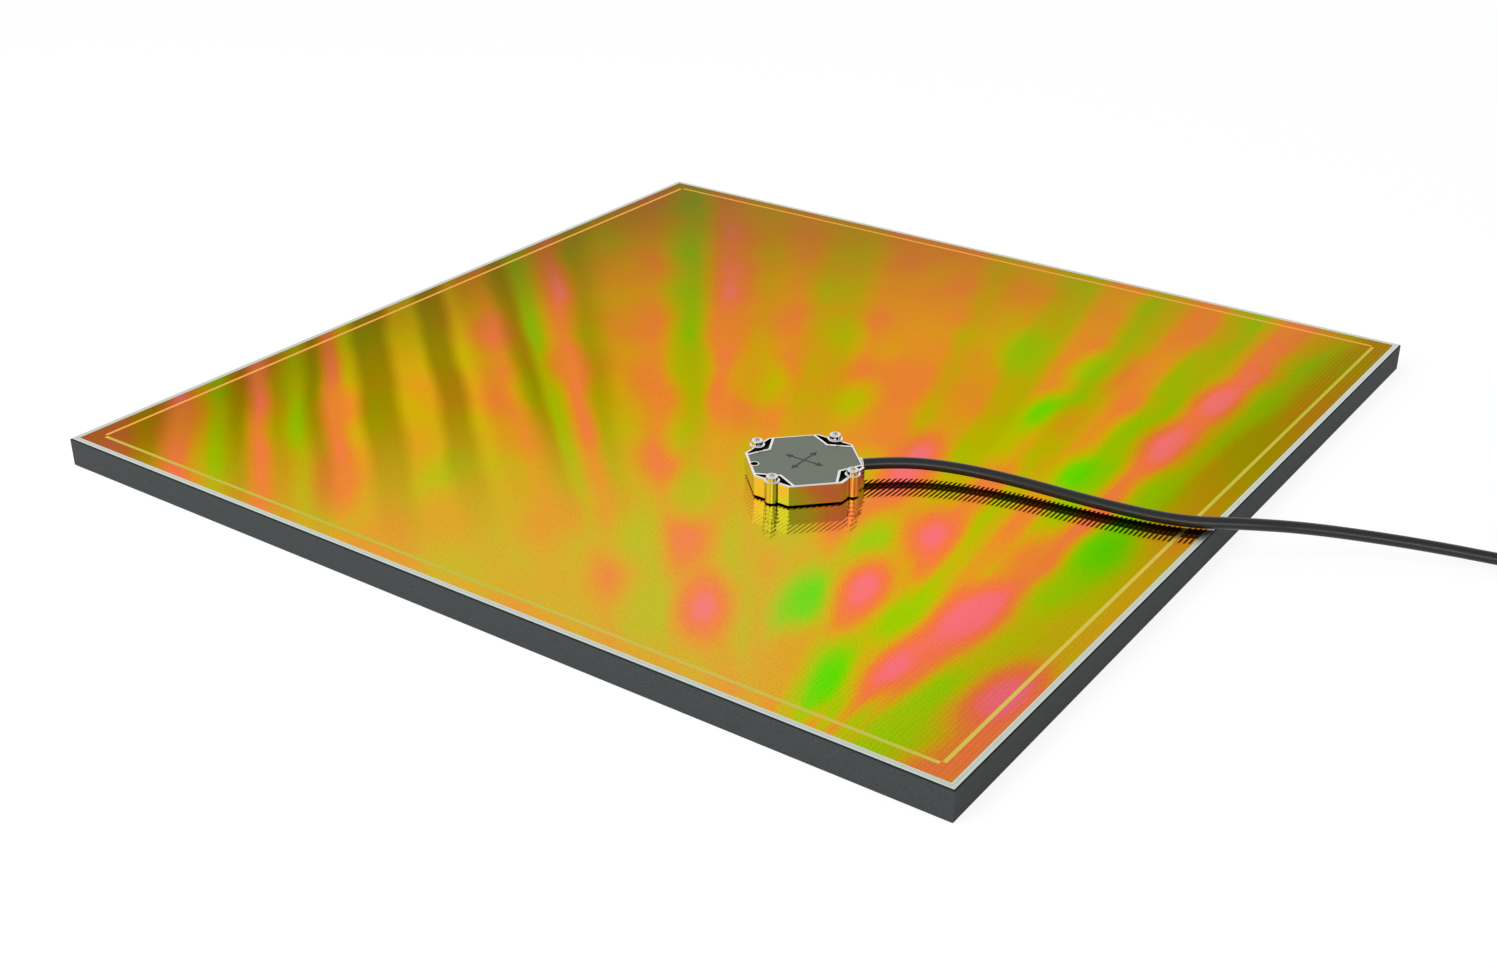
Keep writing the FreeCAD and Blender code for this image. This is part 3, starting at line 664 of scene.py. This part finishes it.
def gratingFinish():
    # Crossed phase grating: a mirror that splits white light into a fan of coloured streaks; these streaks
    # are painted light in its colour, fixed to the plate
    look = gratingLook
    material, tree, shader = newMaterial("crossed_phase_grating", Metallic=1.0,
                                         Specular_Tint=linear(look["edgeTint"]))
    place, plate, square = sideDistances(tree)
    own = addNode(tree, "Mapping", {"Vector": place, "Location": (*look["focus"], 0), "Rotation": (
        0, 0, math.radians(look["lastDirection"]))}, vector_type="TEXTURE")
    axes = addNode(tree, "SeparateXYZ", {0: own}).outputs
    inFan, leftOfFan = [addNode(tree, "Math", {0: axes["Y"], 1: 0.0}, operation=part)
                        for part in ("MINIMUM", "MAXIMUM")]
    radial = addNode(tree, "CombineXYZ", {0: axes["X"], 1: inFan})
    along = addNode(tree, "VectorMath", {0: radial}, operation="LENGTH").outputs["Value"]
    radians = addNode(tree, "Math", {0: inFan, 1: axes["X"]}, operation="ARCTAN2")
    fromLast = addNode(tree, "Math", {0: radians}, operation="DEGREES")
    fanDegrees = addNode(tree, "Math", {0: fromLast, 1: look["lastDirection"]}, operation="ADD")
    across = addNode(tree, "Math", {0: leftOfFan, 1: 1 / (look["leftSpacing"] * mm), 2: fanDegrees},
                     operation="MULTIPLY_ADD")

    # Clouds lie along the streaks, and the streaks waver a little
    cloudWide, cloudLong = look["cloud"]
    unrolled = addNode(tree, "CombineXYZ", {0: across, 1: along})
    cloudPlace = addNode(tree, "Mapping", {
        "Vector": unrolled, "Scale": (1 / cloudWide, 1 / (cloudLong * mm), 1)})
    cloud = addNode(tree, "TexNoise", {"Vector": cloudPlace, "Scale": 1.0, "Detail": 1.0})
    waver, toneChange = [addNode(tree, "MapRange", {
        "Value": cloud, **limits("From", look["cloudSpan"]), **limits("To", (-swing, swing))})
        for swing in (look["waver"], look["cloudSwing"])]
    streakTone, shade = streakPattern(tree, addNode(tree, "Math", {0: across, 1: waver}, operation="ADD"))

    # Near the focus the streaks fade into gold, and patches stand out
    near, clear = [addNode(tree, "MapRange", {"Value": along, **limits("From", look[reach])},
                           interpolation_type="SMOOTHSTEP") for reach in ("calm", "shadeFade")]
    right, left, least = look["calmShare"]
    calm = addNode(tree, "MapRange", {"Value": across, **limits("From", (right, left)), "To Min": least})
    calmed = addNode(tree, "Math", {0: near, 1: calm}, operation="MULTIPLY")
    tone = addNode(tree, "Mix", {0: calmed, 2: streakTone, 3: look["nearTone"]})
    tone = addNode(tree, "Math", {0: tone, 1: toneChange}, operation="ADD")
    flat = addNode(tree, "CombineXYZ", {0: plate["X"], 1: plate["Y"]})
    long, wide = [size * mm for size in look["patchSize"]]
    stretched = {angle: addNode(tree, "Mapping", {
        "Vector": flat, "Rotation": (0, 0, math.radians(angle)), "Scale": (long, wide, 1)},
        vector_type="TEXTURE") for angle in look["patchDirections"]}
    for hue, places in look["patches"].values():
        for degrees, distance in places:
            angle = min(look["patchDirections"], key=lambda known: abs(known - degrees))
            patch = Matrix.Rotation(-math.radians(angle), 3, "Z") @ streakPlace(degrees, distance)
            away = addNode(tree, "VectorMath", {0: stretched[angle], 1: (patch.x / long, patch.y / wide, 0)},
                           operation="DISTANCE").outputs["Value"]
            share = addNode(tree, "MapRange", {"Value": away, "From Min": look["patchCore"],
                                               **limits("To", (1.0, 0.0))}, interpolation_type="SMOOTHSTEP")
            tone = addNode(tree, "Mix", {0: share, 2: tone, 3: hue})
    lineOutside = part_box("border_lines")[1].x
    outside = addNode(tree, "Math", {0: square, 1: lineOutside}, operation="GREATER_THAN")
    tone = addNode(tree, "Math", {0: outside, 1: look["outerTone"], 2: tone}, operation="MULTIPLY_ADD")
    colour = addNode(tree, "ValToRGB", {"Fac": tone}, toneStops(look["toneSpan"], look["tones"]))

    # Painted shade on the dark streaks, three sides and the far left corner, and a painted bloom of light
    # near the focus
    levels = [addNode(tree, "Mix", {0: clear, 2: shade, 3: 1.0})]
    backLeft = addNode(tree, "Math", {0: plate["Y"], 1: plate["X"]}, operation="SUBTRACT")
    measures = {"backLeft": backLeft, "left": plate["X"], "right": plate["X"], "back": plate["Y"]}
    for side, (reach, dims) in look["dims"].items():
        levels.append(addNode(tree, "MapRange", {
            "Value": measures[side], **limits("From", reach), **limits("To", dims)},
            interpolation_type="SMOOTHSTEP"))
    for level in levels:
        colour = addNode(tree, "MixRGB", {"Fac": 1.0, "Color1": colour, "Color2": level},
                         blend_type="MULTIPLY")
    bloom, bloomShare = look["nearPaintedBloom"]
    haze = addNode(tree, "Math", {0: calmed, 1: calm}, operation="MULTIPLY")
    bloomPaintShare = addNode(tree, "Math", {0: haze, 1: bloomShare}, operation="MULTIPLY")
    colour = addNode(tree, "MixRGB", {"Fac": bloomPaintShare, "Color1": colour, "Color2": linear(bloom)})

    # The grain of the coating, and lines along Y that lean forwards and backwards by turns
    grain = addNode(tree, "TexNoise", {"Vector": place, "Scale": 1 / (look["grain"] * mm), "Detail": 2.0})
    level, gloss = [addNode(tree, "MapRange", {"Value": grain, **limits("To", look[given])})
                    for given in ("grainLevels", "roughness")]
    colour = addNode(tree, "MixRGB", {"Fac": 1.0, "Color1": colour, "Color2": level}, blend_type="MULTIPLY")
    # A wave texture repeats after pi / (10 * scale)
    lines = addNode(tree, "TexWave", {"Vector": place, "Scale": math.pi / (10 * look["linePitch"] * mm)},
                    wave_type="BANDS", bands_direction="X")
    forwards = addNode(tree, "Math", {0: lines, 1: 0.5}, operation="GREATER_THAN")
    lean = addNode(tree, "MapRange", {"Value": forwards, **limits("To", look["lean"])})
    slope = addNode(tree, "CombineXYZ", {1: lean, 2: 1.0})
    facing = addNode(tree, "VectorMath", {0: slope}, operation="NORMALIZE")
    wire(tree, shader, {"Base Color": colour, "Roughness": gloss, "Normal": facing})
    return material


def lineFinish():
    # The border lines are a coarser grating: a soft mirror whose diffracted colour, another on each side, is
    # painted light in its colour
    look = lineLook
    material, tree, shader = newMaterial("border_line_grating", Metallic=1.0,
                                         Specular_Tint=linear(gratingLook["edgeTint"]))
    place = addNode(tree, "TexCoord").outputs["Object"]
    axes = addNode(tree, "SeparateXYZ", {0: place}).outputs
    cloud = addNode(tree, "TexNoise", {"Vector": place, "Scale": 1 / (look["cloud"] * mm), "Detail": 1.0})
    colour, right = [addNode(tree, "ValToRGB", {"Fac": cloud}, toneStops(look["toneSpan"], look[side]))
                     for side in ("front", "right")]
    edge = plateHigh.x - look["inset"] * mm
    # Painted light: each side of the border shows its own diffracted colour
    for axis, side, limit, other in (("X", "GREATER_THAN", edge, right),
                                     ("Y", "GREATER_THAN", edge, linear(look["back"])),
                                     ("X", "LESS_THAN", -edge, linear(look["left"]))):
        isThere = addNode(tree, "Math", {0: axes[axis], 1: limit}, operation=side)
        colour = addNode(tree, "MixRGB", {"Fac": isThere, "Color1": colour, "Color2": other})
    gloss = addNode(tree, "MapRange", {"Value": cloud, **limits("To", look["roughness"])})
    wire(tree, shader, {"Base Color": colour, "Roughness": gloss})
    return material


dress(substrateFinish(), "plate_substrate")
dress(coatingFinish(), "coating_margin")
dress(gratingFinish(), "grating_layer")
dress(lineFinish(), "border_lines")
print("plate finished")


# Scanning head

headLow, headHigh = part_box("head_housing")
headMiddle = (headLow + headHigh) / 2
head = {
    "centre": (headMiddle.x, headMiddle.y, headLow.z),
    "turnDegrees": 45.0,
    "screwPlace": 15.25,            # mm from the middle, both ways
    "bossRadius": 2.52,             # mm
    "washerLevel": 20.7,            # mm above the floor, as the next two
    "screwLevel": 21.2,
    "coverTop": 20.55,
}

housingLook = {
    "metal": ("e2e1dc", "eae9e5"),
    "side": ("e0dcd4", "e8e5de"),   # painted shade: the sides a little darker and warmer than the rim
    "pocket": ("050505", "0e0e0e"),
    "toneSpan": (0.3, 0.7),
    "roughness": (0.05, 0.08),
    "lacquerRoughness": 0.4,        # added in the pockets
    "brush": (0.25, 9.0),           # mm across and along the polishing marks
    "cornerShade": "4c4636",               # painted shade in the concave corners beside the bosses
    "cornerShadeReach": 3.0,               # mm from a boss's middle
    "cornerShadeSum": 29.8,                # mm, |x| + |y| beyond which they lie
    "pocketBox": 20.15,             # mm, half the side of the square that holds the pockets
    "pocketSums": (22.0, 29.65),    # mm, |x| + |y| of their inner and outer sides
    "pocketLevels": (6.3, 8.05),    # mm above the head's underside
    "holePlace": (-19.1, 0.0),      # mm, the tapped hole in the notch, coloured black inside as painted shade
    "holeRadius": 1.45,
}

# Turned pieces: radius and height of each ring in mm

capScrew = {
    "sides": 72,
    "tip": ((0.80, -6.0), (1.12, -5.75)),
    "threads": (10, 0.45, -5.55, 1.25, 1.02),       # turns, pitch, start, crest and root radius
    "underHead": ((1.25, -0.55), (1.25, -0.06), (1.36, 0.0), (2.10, 0.0), (2.25, 0.14)),
    "headRadius": 2.25,
    "knurl": (0.32, 1.26),          # its lowest and highest ring
    "knurlDepth": 0.065,
    "crown": ((2.25, 1.40), (2.21, 1.60), (2.09, 1.79), (1.90, 1.93), (1.66, 2.0), (1.36, 2.0), (1.20, 1.90)),
    "hexRing": 1.12,                # radius before the ring is made a hexagon
    "hexFlat": 1.0,                 # from the middle to a flat
    "hexLevels": (1.82, 1.0),       # its top and floor
    "hexCone": (0.30, 0.78),
}

washer = {
    "sides": 64,
    "rings": ((1.42, 0.0), (2.86, 0.0), (2.96, 0.05), (3.0, 0.15), (3.0, 0.35), (2.96, 0.45), (2.86, 0.5),
              (1.42, 0.5), (1.36, 0.44), (1.36, 0.06)),
}

# Sizes in mm, from the middle out
directionMark = {
    "barWidth": 0.85,
    "headStart": 5.6,
    "headWidth": 3.0,
    "tip": 8.8,
    "thickness": 0.02,
}


def headPoint(x, y, z):
    # From mm along the head's own axes to the frame, z stays the frame's own
    turn = math.radians(head["turnDegrees"])
    across = (x * math.cos(turn) - y * math.sin(turn)) * mm
    along = (x * math.sin(turn) + y * math.cos(turn)) * mm
    return Vector((head["centre"][0] + across, head["centre"][1] + along, z * mm))


def screwPlaces(level):
    place = head["screwPlace"]
    return [headPoint(x * place, y * place, level) for x, y in ((1, 1), (-1, 1), (-1, -1), (1, -1))]


def passesAll(tree, base, tests):
    # 1 where the base is 1 and each test holds: value, operation, limit in mm
    for value, operation, limit in tests:
        passed = addNode(tree, "Math", {0: value, 1: limit * mm}, operation=operation)
        base = addNode(tree, "Math", {0: base, 1: passed}, operation="MULTIPLY")
    return base


def housingFinish():
    # Nickel-plated brass, polished: a clear mirror with faint polishing marks and black lacquer in the
    # pockets; the sides, the corners beside the bosses and the tapped hole carry painted shade
    look = housingLook
    material, tree, shader = newMaterial("polished_nickel_plate", Specular_IOR_Level=0.1)
    place = addNode(tree, "TexCoord").outputs["Object"]
    own = addNode(tree, "Mapping", {"Vector": place, "Location": head["centre"], "Rotation": (
        0, 0, math.radians(head["turnDegrees"]))}, vector_type="TEXTURE")
    axes = addNode(tree, "SeparateXYZ", {0: own}).outputs
    across, along = [addNode(tree, "Math", {0: axes[axis]}, operation="ABSOLUTE") for axis in "XY"]
    larger = addNode(tree, "Math", {0: across, 1: along}, operation="MAXIMUM")
    total = addNode(tree, "Math", {0: across, 1: along}, operation="ADD")
    corner = addNode(tree, "CombineXYZ", {0: across, 1: along})
    bossPlace = (head["screwPlace"] * mm, head["screwPlace"] * mm, 0)
    fromBoss = addNode(tree, "VectorMath", {0: corner, 1: bossPlace}, operation="DISTANCE").outputs["Value"]
    floorLevel, rimLevel = look["pocketLevels"]
    below = addNode(tree, "Math", {0: axes["Z"], 1: rimLevel * mm}, operation="LESS_THAN")
    inPocket = passesAll(tree, below, (
        (larger, "LESS_THAN", look["pocketBox"]), (total, "GREATER_THAN", look["pocketSums"][0]),
        (total, "LESS_THAN", look["pocketSums"][1]), (axes["Z"], "GREATER_THAN", floorLevel),
        (fromBoss, "GREATER_THAN", head["bossRadius"])))
    inCornerShade = passesAll(tree, below, (
        (fromBoss, "GREATER_THAN", head["bossRadius"]), (fromBoss, "LESS_THAN", look["cornerShadeReach"]),
        (total, "GREATER_THAN", look["cornerShadeSum"])))
    # Painted shade: the tapped hole is coloured black inside, with the pockets' black
    hole = Vector((*look["holePlace"], 0)) * mm
    flat = addNode(tree, "CombineXYZ", {0: axes["X"], 1: axes["Y"]})
    fromHole = addNode(tree, "VectorMath", {0: flat, 1: hole}, operation="DISTANCE").outputs["Value"]
    inHoleShade = addNode(tree, "Math", {0: fromHole, 1: look["holeRadius"] * mm}, operation="LESS_THAN")
    isLacquerOrHoleShade = addNode(tree, "Math", {0: inPocket, 1: inHoleShade}, operation="MAXIMUM")
    fine, long = look["brush"]
    stretched = addNode(tree, "Mapping", {
        "Vector": own, "Scale": (1 / (fine * mm), 1 / (fine * mm), 1 / (long * mm))})
    marks = addNode(tree, "TexNoise", {"Vector": stretched, "Scale": 1.0, "Detail": 3.0})
    colour, side, lacquer = [
        addNode(tree, "ValToRGB", {"Fac": marks}, toneStops(look["toneSpan"], look[finish]))
        for finish in ("metal", "side", "pocket")]
    # Painted shade on the sides, in the corners beside the bosses and in the tapped hole; the pockets are
    # black lacquer
    for share, other in ((below, side), (inCornerShade, linear(look["cornerShade"])), (isLacquerOrHoleShade, lacquer)):
        colour = addNode(tree, "MixRGB", {"Fac": share, "Color1": colour, "Color2": other})
    metallic = addNode(tree, "MapRange", {"Value": isLacquerOrHoleShade, **limits("To", (1.0, 0.0))})
    polish = addNode(tree, "MapRange", {"Value": marks, **limits("To", look["roughness"])})
    gloss = addNode(tree, "Math", {0: isLacquerOrHoleShade, 1: look["lacquerRoughness"], 2: polish},
                    operation="MULTIPLY_ADD")
    wire(tree, shader, {"Base Color": colour, "Metallic": metallic, "Roughness": gloss})
    return material


def makeCapScrews(material):
    # Turned from tip to socket, then every other edge of the knurl goes in and the socket gets six sides
    look = capScrew
    turns, pitch, start, crest, root = look["threads"]
    threads = []
    for turn in range(turns):
        threads += [(crest, start + pitch * turn), (root, start + pitch * (turn + 0.5))]
    knurl = [(look["headRadius"], level) for level in look["knurl"]]
    socket = [(look["hexRing"], level) for level in look["hexLevels"]]
    rings = [*look["tip"], *threads, *look["underHead"], *knurl, *look["crown"], *socket, look["hexCone"]]
    screw = turnedPiece(rings, look["sides"])
    step = 2 * math.pi / look["sides"]
    low, high = look["knurl"]
    for vertex in screw.data.vertices:
        place = vertex.co
        radius, angle = place.xy.length, math.atan2(place.y, place.x)
        onKnurl = low * mm - sameSpot < place.z < high * mm + sameSpot
        onOutside = abs(radius - look["headRadius"] * mm) < sameSpot
        if onKnurl and onOutside and round(angle / step) % 2:
            place.xy *= 1 - look["knurlDepth"] * mm / radius
        if abs(radius - look["hexRing"] * mm) < sameSpot and place.z > 0:
            fromFlat = (angle % math.radians(60)) - math.radians(30)
            place.xy *= look["hexFlat"] * mm / math.cos(fromFlat) / radius
    places = screwPlaces(head["screwLevel"])
    for piece in settledCopies(screw, "cap_screw", places, material, "scanning_head"):
        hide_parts("mounting_screws")


def makeWashers(material):
    ring = turnedPiece(washer["rings"], washer["sides"], closed=True)
    for piece in settledCopies(ring, "washer", screwPlaces(head["washerLevel"]), material, "scanning_head"):
        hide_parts("mounting_washers")


def makeDirectionMark(material):
    # Two crossed double arrows along the plate's axes, printed on the cover
    mark = directionMark
    freshStart()
    bpy.ops.mesh.primitive_plane_add(size=mark["barWidth"] * mm)
    piece = bpy.context.object
    edge = mark["barWidth"] / 2
    wider = mark["headWidth"] / mark["barWidth"]
    for x, y in ((1, 0), (0, 1), (-1, 0), (0, -1)):
        pickVertices(piece, lambda place: abs(place.x * x + place.y * y - edge * mm) < sameSpot
                     and abs(place.x * y) + abs(place.y * x) < edge * mm + sameSpot)
        length = mark["headStart"] - edge
        extrudeBy(x * length, y * length, 0)
        extrudeBy(0, 0, 0)
        bpy.ops.transform.resize(value=(1 if x else wider, 1 if y else wider, 1))
        length = mark["tip"] - mark["headStart"]
        extrudeBy(x * length, y * length, 0)
        bpy.ops.mesh.merge(type="CENTER")
    bpy.ops.object.mode_set(mode="OBJECT")
    addModifier(piece, "SOLIDIFY", thickness=mark["thickness"] * mm, offset=1.0)
    piece.location = headPoint(0, 0, head["coverTop"])
    settle(piece, "direction_mark", material, "scanning_head")


housingMetal = housingFinish()
coverPaint = grainFinish("stoved_grey_lacquer", {
    # Lacquered sheet metal: a dull olive grey with a fine even grain
    "colours": ("676f61", "757d6e"), "grain": 0.35, "roughness": (0.42, 0.55), "relief": 0.05,
    "specular": 0.3,
})
printInk = grainFinish("screen_printed_ink", {
    # Printing ink: flat and slightly thin, so the lacquer's grain shows through
    "colours": ("33362f", "3d4039"), "grain": 0.4, "roughness": (0.5, 0.65), "relief": 0.1, "specular": 0.3,
})
screwSteel = grainFinish("bright_stainless_steel", {
    # Cold-headed stainless steel: bright, with a fine grey mottle
    "colours": ("d4d5d3", "ebebe9"), "grain": 0.4, "roughness": (0.07, 0.15), "relief": 0.03, "metallic": 1.0,
})
dress(housingMetal, "head_housing", "cable_collar")
dress(coverPaint, "head_cover")
makeCapScrews(screwSteel)
makeWashers(screwSteel)
makeDirectionMark(printInk)
print("scanning head finished")


# Inside of the head and of the plug

opticalGlass = grainFinish("optical_crown_glass", {
    # Polished glass with a thin coating: clear, with a faint bluish sheen
    "colours": ("c9d6da", "d6e2e4"), "grain": 3.0, "roughness": (0.02, 0.05), "relief": 0.0,
})
blackPlastic = grainFinish("moulded_black_nylon", {
    # Glass-filled nylon: dull black with a coarse mottle
    "colours": ("141415", "1e1f20"), "grain": 0.8, "roughness": (0.45, 0.6), "relief": 0.1, "specular": 0.4,
})
diodeEpoxy = grainFinish("clear_diode_epoxy", {
    # Cast epoxy: glassy, with a faint yellow cast
    "colours": ("b9b4a4", "cdc8b8"), "grain": 1.0, "roughness": (0.1, 0.2), "relief": 0.0,
})
silicon = grainFinish("polished_silicon", {
    # Cut and polished silicon: blue-grey and mirror smooth
    "colours": ("2a2f3d", "3b4152"), "grain": 0.6, "roughness": (0.05, 0.12), "relief": 0.0, "specular": 0.6,
})
boardLaminate = grainFinish("green_glass_laminate", {
    # Glass-epoxy board under green solder mask: the weave shows as a faint mottle
    "colours": ("0f4a2c", "1a6038"), "grain": 0.5, "roughness": (0.3, 0.42), "relief": 0.1,
})
coreInsulation = grainFinish("coloured_core_insulation", {
    # Thin extruded insulation: smooth, buff and red by turns
    "colours": ("b8b0a0", "8c3b2c"), "grain": 1.4, "roughness": (0.35, 0.45), "relief": 0.0, "specular": 0.4,
})
dress(opticalGlass, "scanning_reticle", "condenser_lens")
dress(blackPlastic, "lens_holder", "sensor_chips", "pin_insert", "interface_chips")
dress(diodeEpoxy, "light_source")
dress(silicon, "photodetectors")
dress(boardLaminate, "sensor_board", "interface_board")
dress(screwSteel, "board_screws", "cable_clamp", "clamp_screws")
dress(coreInsulation, "head_cores", "plug_cores")
print("inner pieces finished")


# Plug

parting = {
    "colour": "2e3032",
    "width": 0.22,                  # mm
}


def drawParting(material, level):
    # A dark line round the hood where its halves meet
    tree = material.node_tree
    shader = tree.nodes["Principled BSDF"]
    plain = shader.inputs["Base Color"].links[0].from_socket
    place = addNode(tree, "TexCoord").outputs["Object"]
    height = addNode(tree, "SeparateXYZ", {0: place}).outputs["Z"]
    inLine = addNode(tree, "Math", {0: height, 1: level, 2: parting["width"] / 2 * mm}, operation="COMPARE")
    colour = addNode(tree, "MixRGB", {"Fac": inLine, "Color1": plain, "Color2": linear(parting["colour"])})
    wire(tree, shader, {"Base Color": colour})


bootRubber = grainFinish("moulded_black_rubber", {
    # Soft moulded rubber: matt, with a dusty bloom
    "colours": ("18191a", "232425"), "grain": 0.6, "roughness": (0.55, 0.72), "relief": 0.15,
    "specular": 0.35,
})
hoodMetal = grainFinish("nickelled_die_cast_zinc", {
    # Die-cast zinc, tumbled and nickelled: satin grey with a fine orange peel
    "colours": ("94979a", "a2a5a7"), "grain": 0.5, "roughness": (0.30, 0.42), "relief": 0.2, "metallic": 1.0,
})
tinPlate = grainFinish("tin_plated_steel", {
    # Drawn steel with a tin coat: pale, soft reflections and a cloudy bloom
    "colours": ("bdbdb6", "d2d2cc"), "grain": 1.6, "roughness": (0.22, 0.34), "relief": 0.05, "metallic": 1.0,
})
contactGold = grainFinish("gold_plated_contacts", {
    # Turned brass with a thin gold plating: warm, bright and smooth
    "colours": ("d2a548", "e4bc62"), "grain": 0.3, "roughness": (0.12, 0.22), "relief": 0.02, "metallic": 1.0,
})
drawParting(hoodMetal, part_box("hood_lower")[1].z)
dress(bootRubber, "plug_boot")
dress(hoodMetal, "hood_lower", "hood_upper")
dress(screwSteel, "hood_screws", "jackscrew_left", "jackscrew_right")
dress(tinPlate, "plug_shell")
dress(contactGold, "contact_pins")
print("plug finished")


# Tie round the coil

tie = {
    "width": 8.0,                   # mm, as the other sizes
    "thickness": 0.5,
    "angleDegrees": 133.8,
    # Its middle line from the coil's centre and above the floor; the last stretch lies on the first
    "start": (24.0, 10.05),
    "corners": ((33.45, 10.05), (33.45, 0.45), (18.65, 0.45), (18.65, 10.05)),
    "overlap": ((21.8, 10.08), (25.2, 10.68), (31.0, 10.68)),
    "cornerRound": (2.6, 6),        # radius and steps
    "edgeRound": (0.15, 2),
    "edgeDegrees": 50,              # edges sharper than this are rounded
}

bandLook = {
    "threads": ("121314", "2b2d2f"),
    "toneSpan": (0.2, 0.75),
    "roughness": (0.75, 0.95),
    "weave": 0.55,                  # mm from thread to thread
    "nap": 0.3,                     # mm
    "napShare": 0.5,
    "relief": (0.5, 0.12),          # strength, and mm
}


def tieFinish():
    # Woven hook-and-loop band: dull black threads with a soft nap
    look = bandLook
    material, tree, shader = newMaterial("hook_and_loop_band", Sheen_Weight=0.3, Specular_IOR_Level=0.25)
    place = addNode(tree, "TexCoord").outputs["Object"]
    own = addNode(tree, "Mapping", {"Vector": place, "Location": (*cable["coilCentre"], 0), "Rotation": (
        0, 0, math.radians(tie["angleDegrees"]))}, vector_type="TEXTURE")
    scale = math.pi / (10 * look["weave"] * mm)
    threads = [addNode(tree, "TexWave", {"Vector": own, "Scale": scale}, bands_direction=axis)
               for axis in "XYZ"]
    cross = addNode(tree, "Math", {0: threads[0], 1: threads[2]}, operation="MAXIMUM")
    weave = addNode(tree, "Math", {0: cross, 1: threads[1]}, operation="MULTIPLY")
    nap = addNode(tree, "TexNoise", {"Vector": own, "Scale": 1 / (look["nap"] * mm), "Detail": 4.0})
    both = addNode(tree, "MixRGB", {"Fac": look["napShare"], "Color1": weave, "Color2": nap})
    tone = addNode(tree, "ValToRGB", {"Fac": both}, toneStops(look["toneSpan"], look["threads"]))
    strength, depth = look["relief"]
    relief = addNode(tree, "Bump", {"Height": both, "Strength": strength, "Distance": depth * mm})
    gloss = addNode(tree, "MapRange", {"Value": nap, **limits("To", look["roughness"])})
    wire(tree, shader, {"Base Color": tone, "Normal": relief, "Roughness": gloss})
    return material


def makeTie(material):
    # A band bent round the strands: X is outwards from the coil's middle until it is turned into place
    freshStart()
    bpy.ops.mesh.primitive_plane_add(size=tie["width"] * mm)
    piece = bpy.context.object
    pickVertices(piece, lambda place: place.x < 0)
    bpy.ops.mesh.delete(type="VERT")
    bpy.ops.mesh.select_all(action="SELECT")
    startX, startZ = tie["start"]
    bpy.ops.transform.translate(value=((startX - tie["width"] / 2) * mm, 0, startZ * mm))
    line = (tie["start"], *tie["corners"], *tie["overlap"])
    for (x, z), (nextX, nextZ) in zip(line, line[1:]):
        extrudeBy(nextX - x, 0, nextZ - z)
    pickVertices(piece, lambda place: any(math.dist((place.x, place.z), (x * mm, z * mm)) < sameSpot
                                          for x, z in tie["corners"]))
    radius, steps = tie["cornerRound"]
    bpy.ops.mesh.bevel(offset=radius * mm, segments=steps, affect="EDGES")
    bpy.ops.object.mode_set(mode="OBJECT")
    addModifier(piece, "SOLIDIFY", thickness=tie["thickness"] * mm, offset=0.0)
    radius, steps = tie["edgeRound"]
    addModifier(piece, "BEVEL", width=radius * mm, segments=steps, limit_method="ANGLE",
                angle_limit=math.radians(tie["edgeDegrees"]))
    faceOutwards(piece)
    piece.location = (*cable["coilCentre"], 0)
    piece.rotation_euler = (0, 0, math.radians(tie["angleDegrees"]))
    settle(piece, "coil_band", material, "cable_lead")
    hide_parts("coil_tie")
    return piece


band = makeTie(tieFinish())
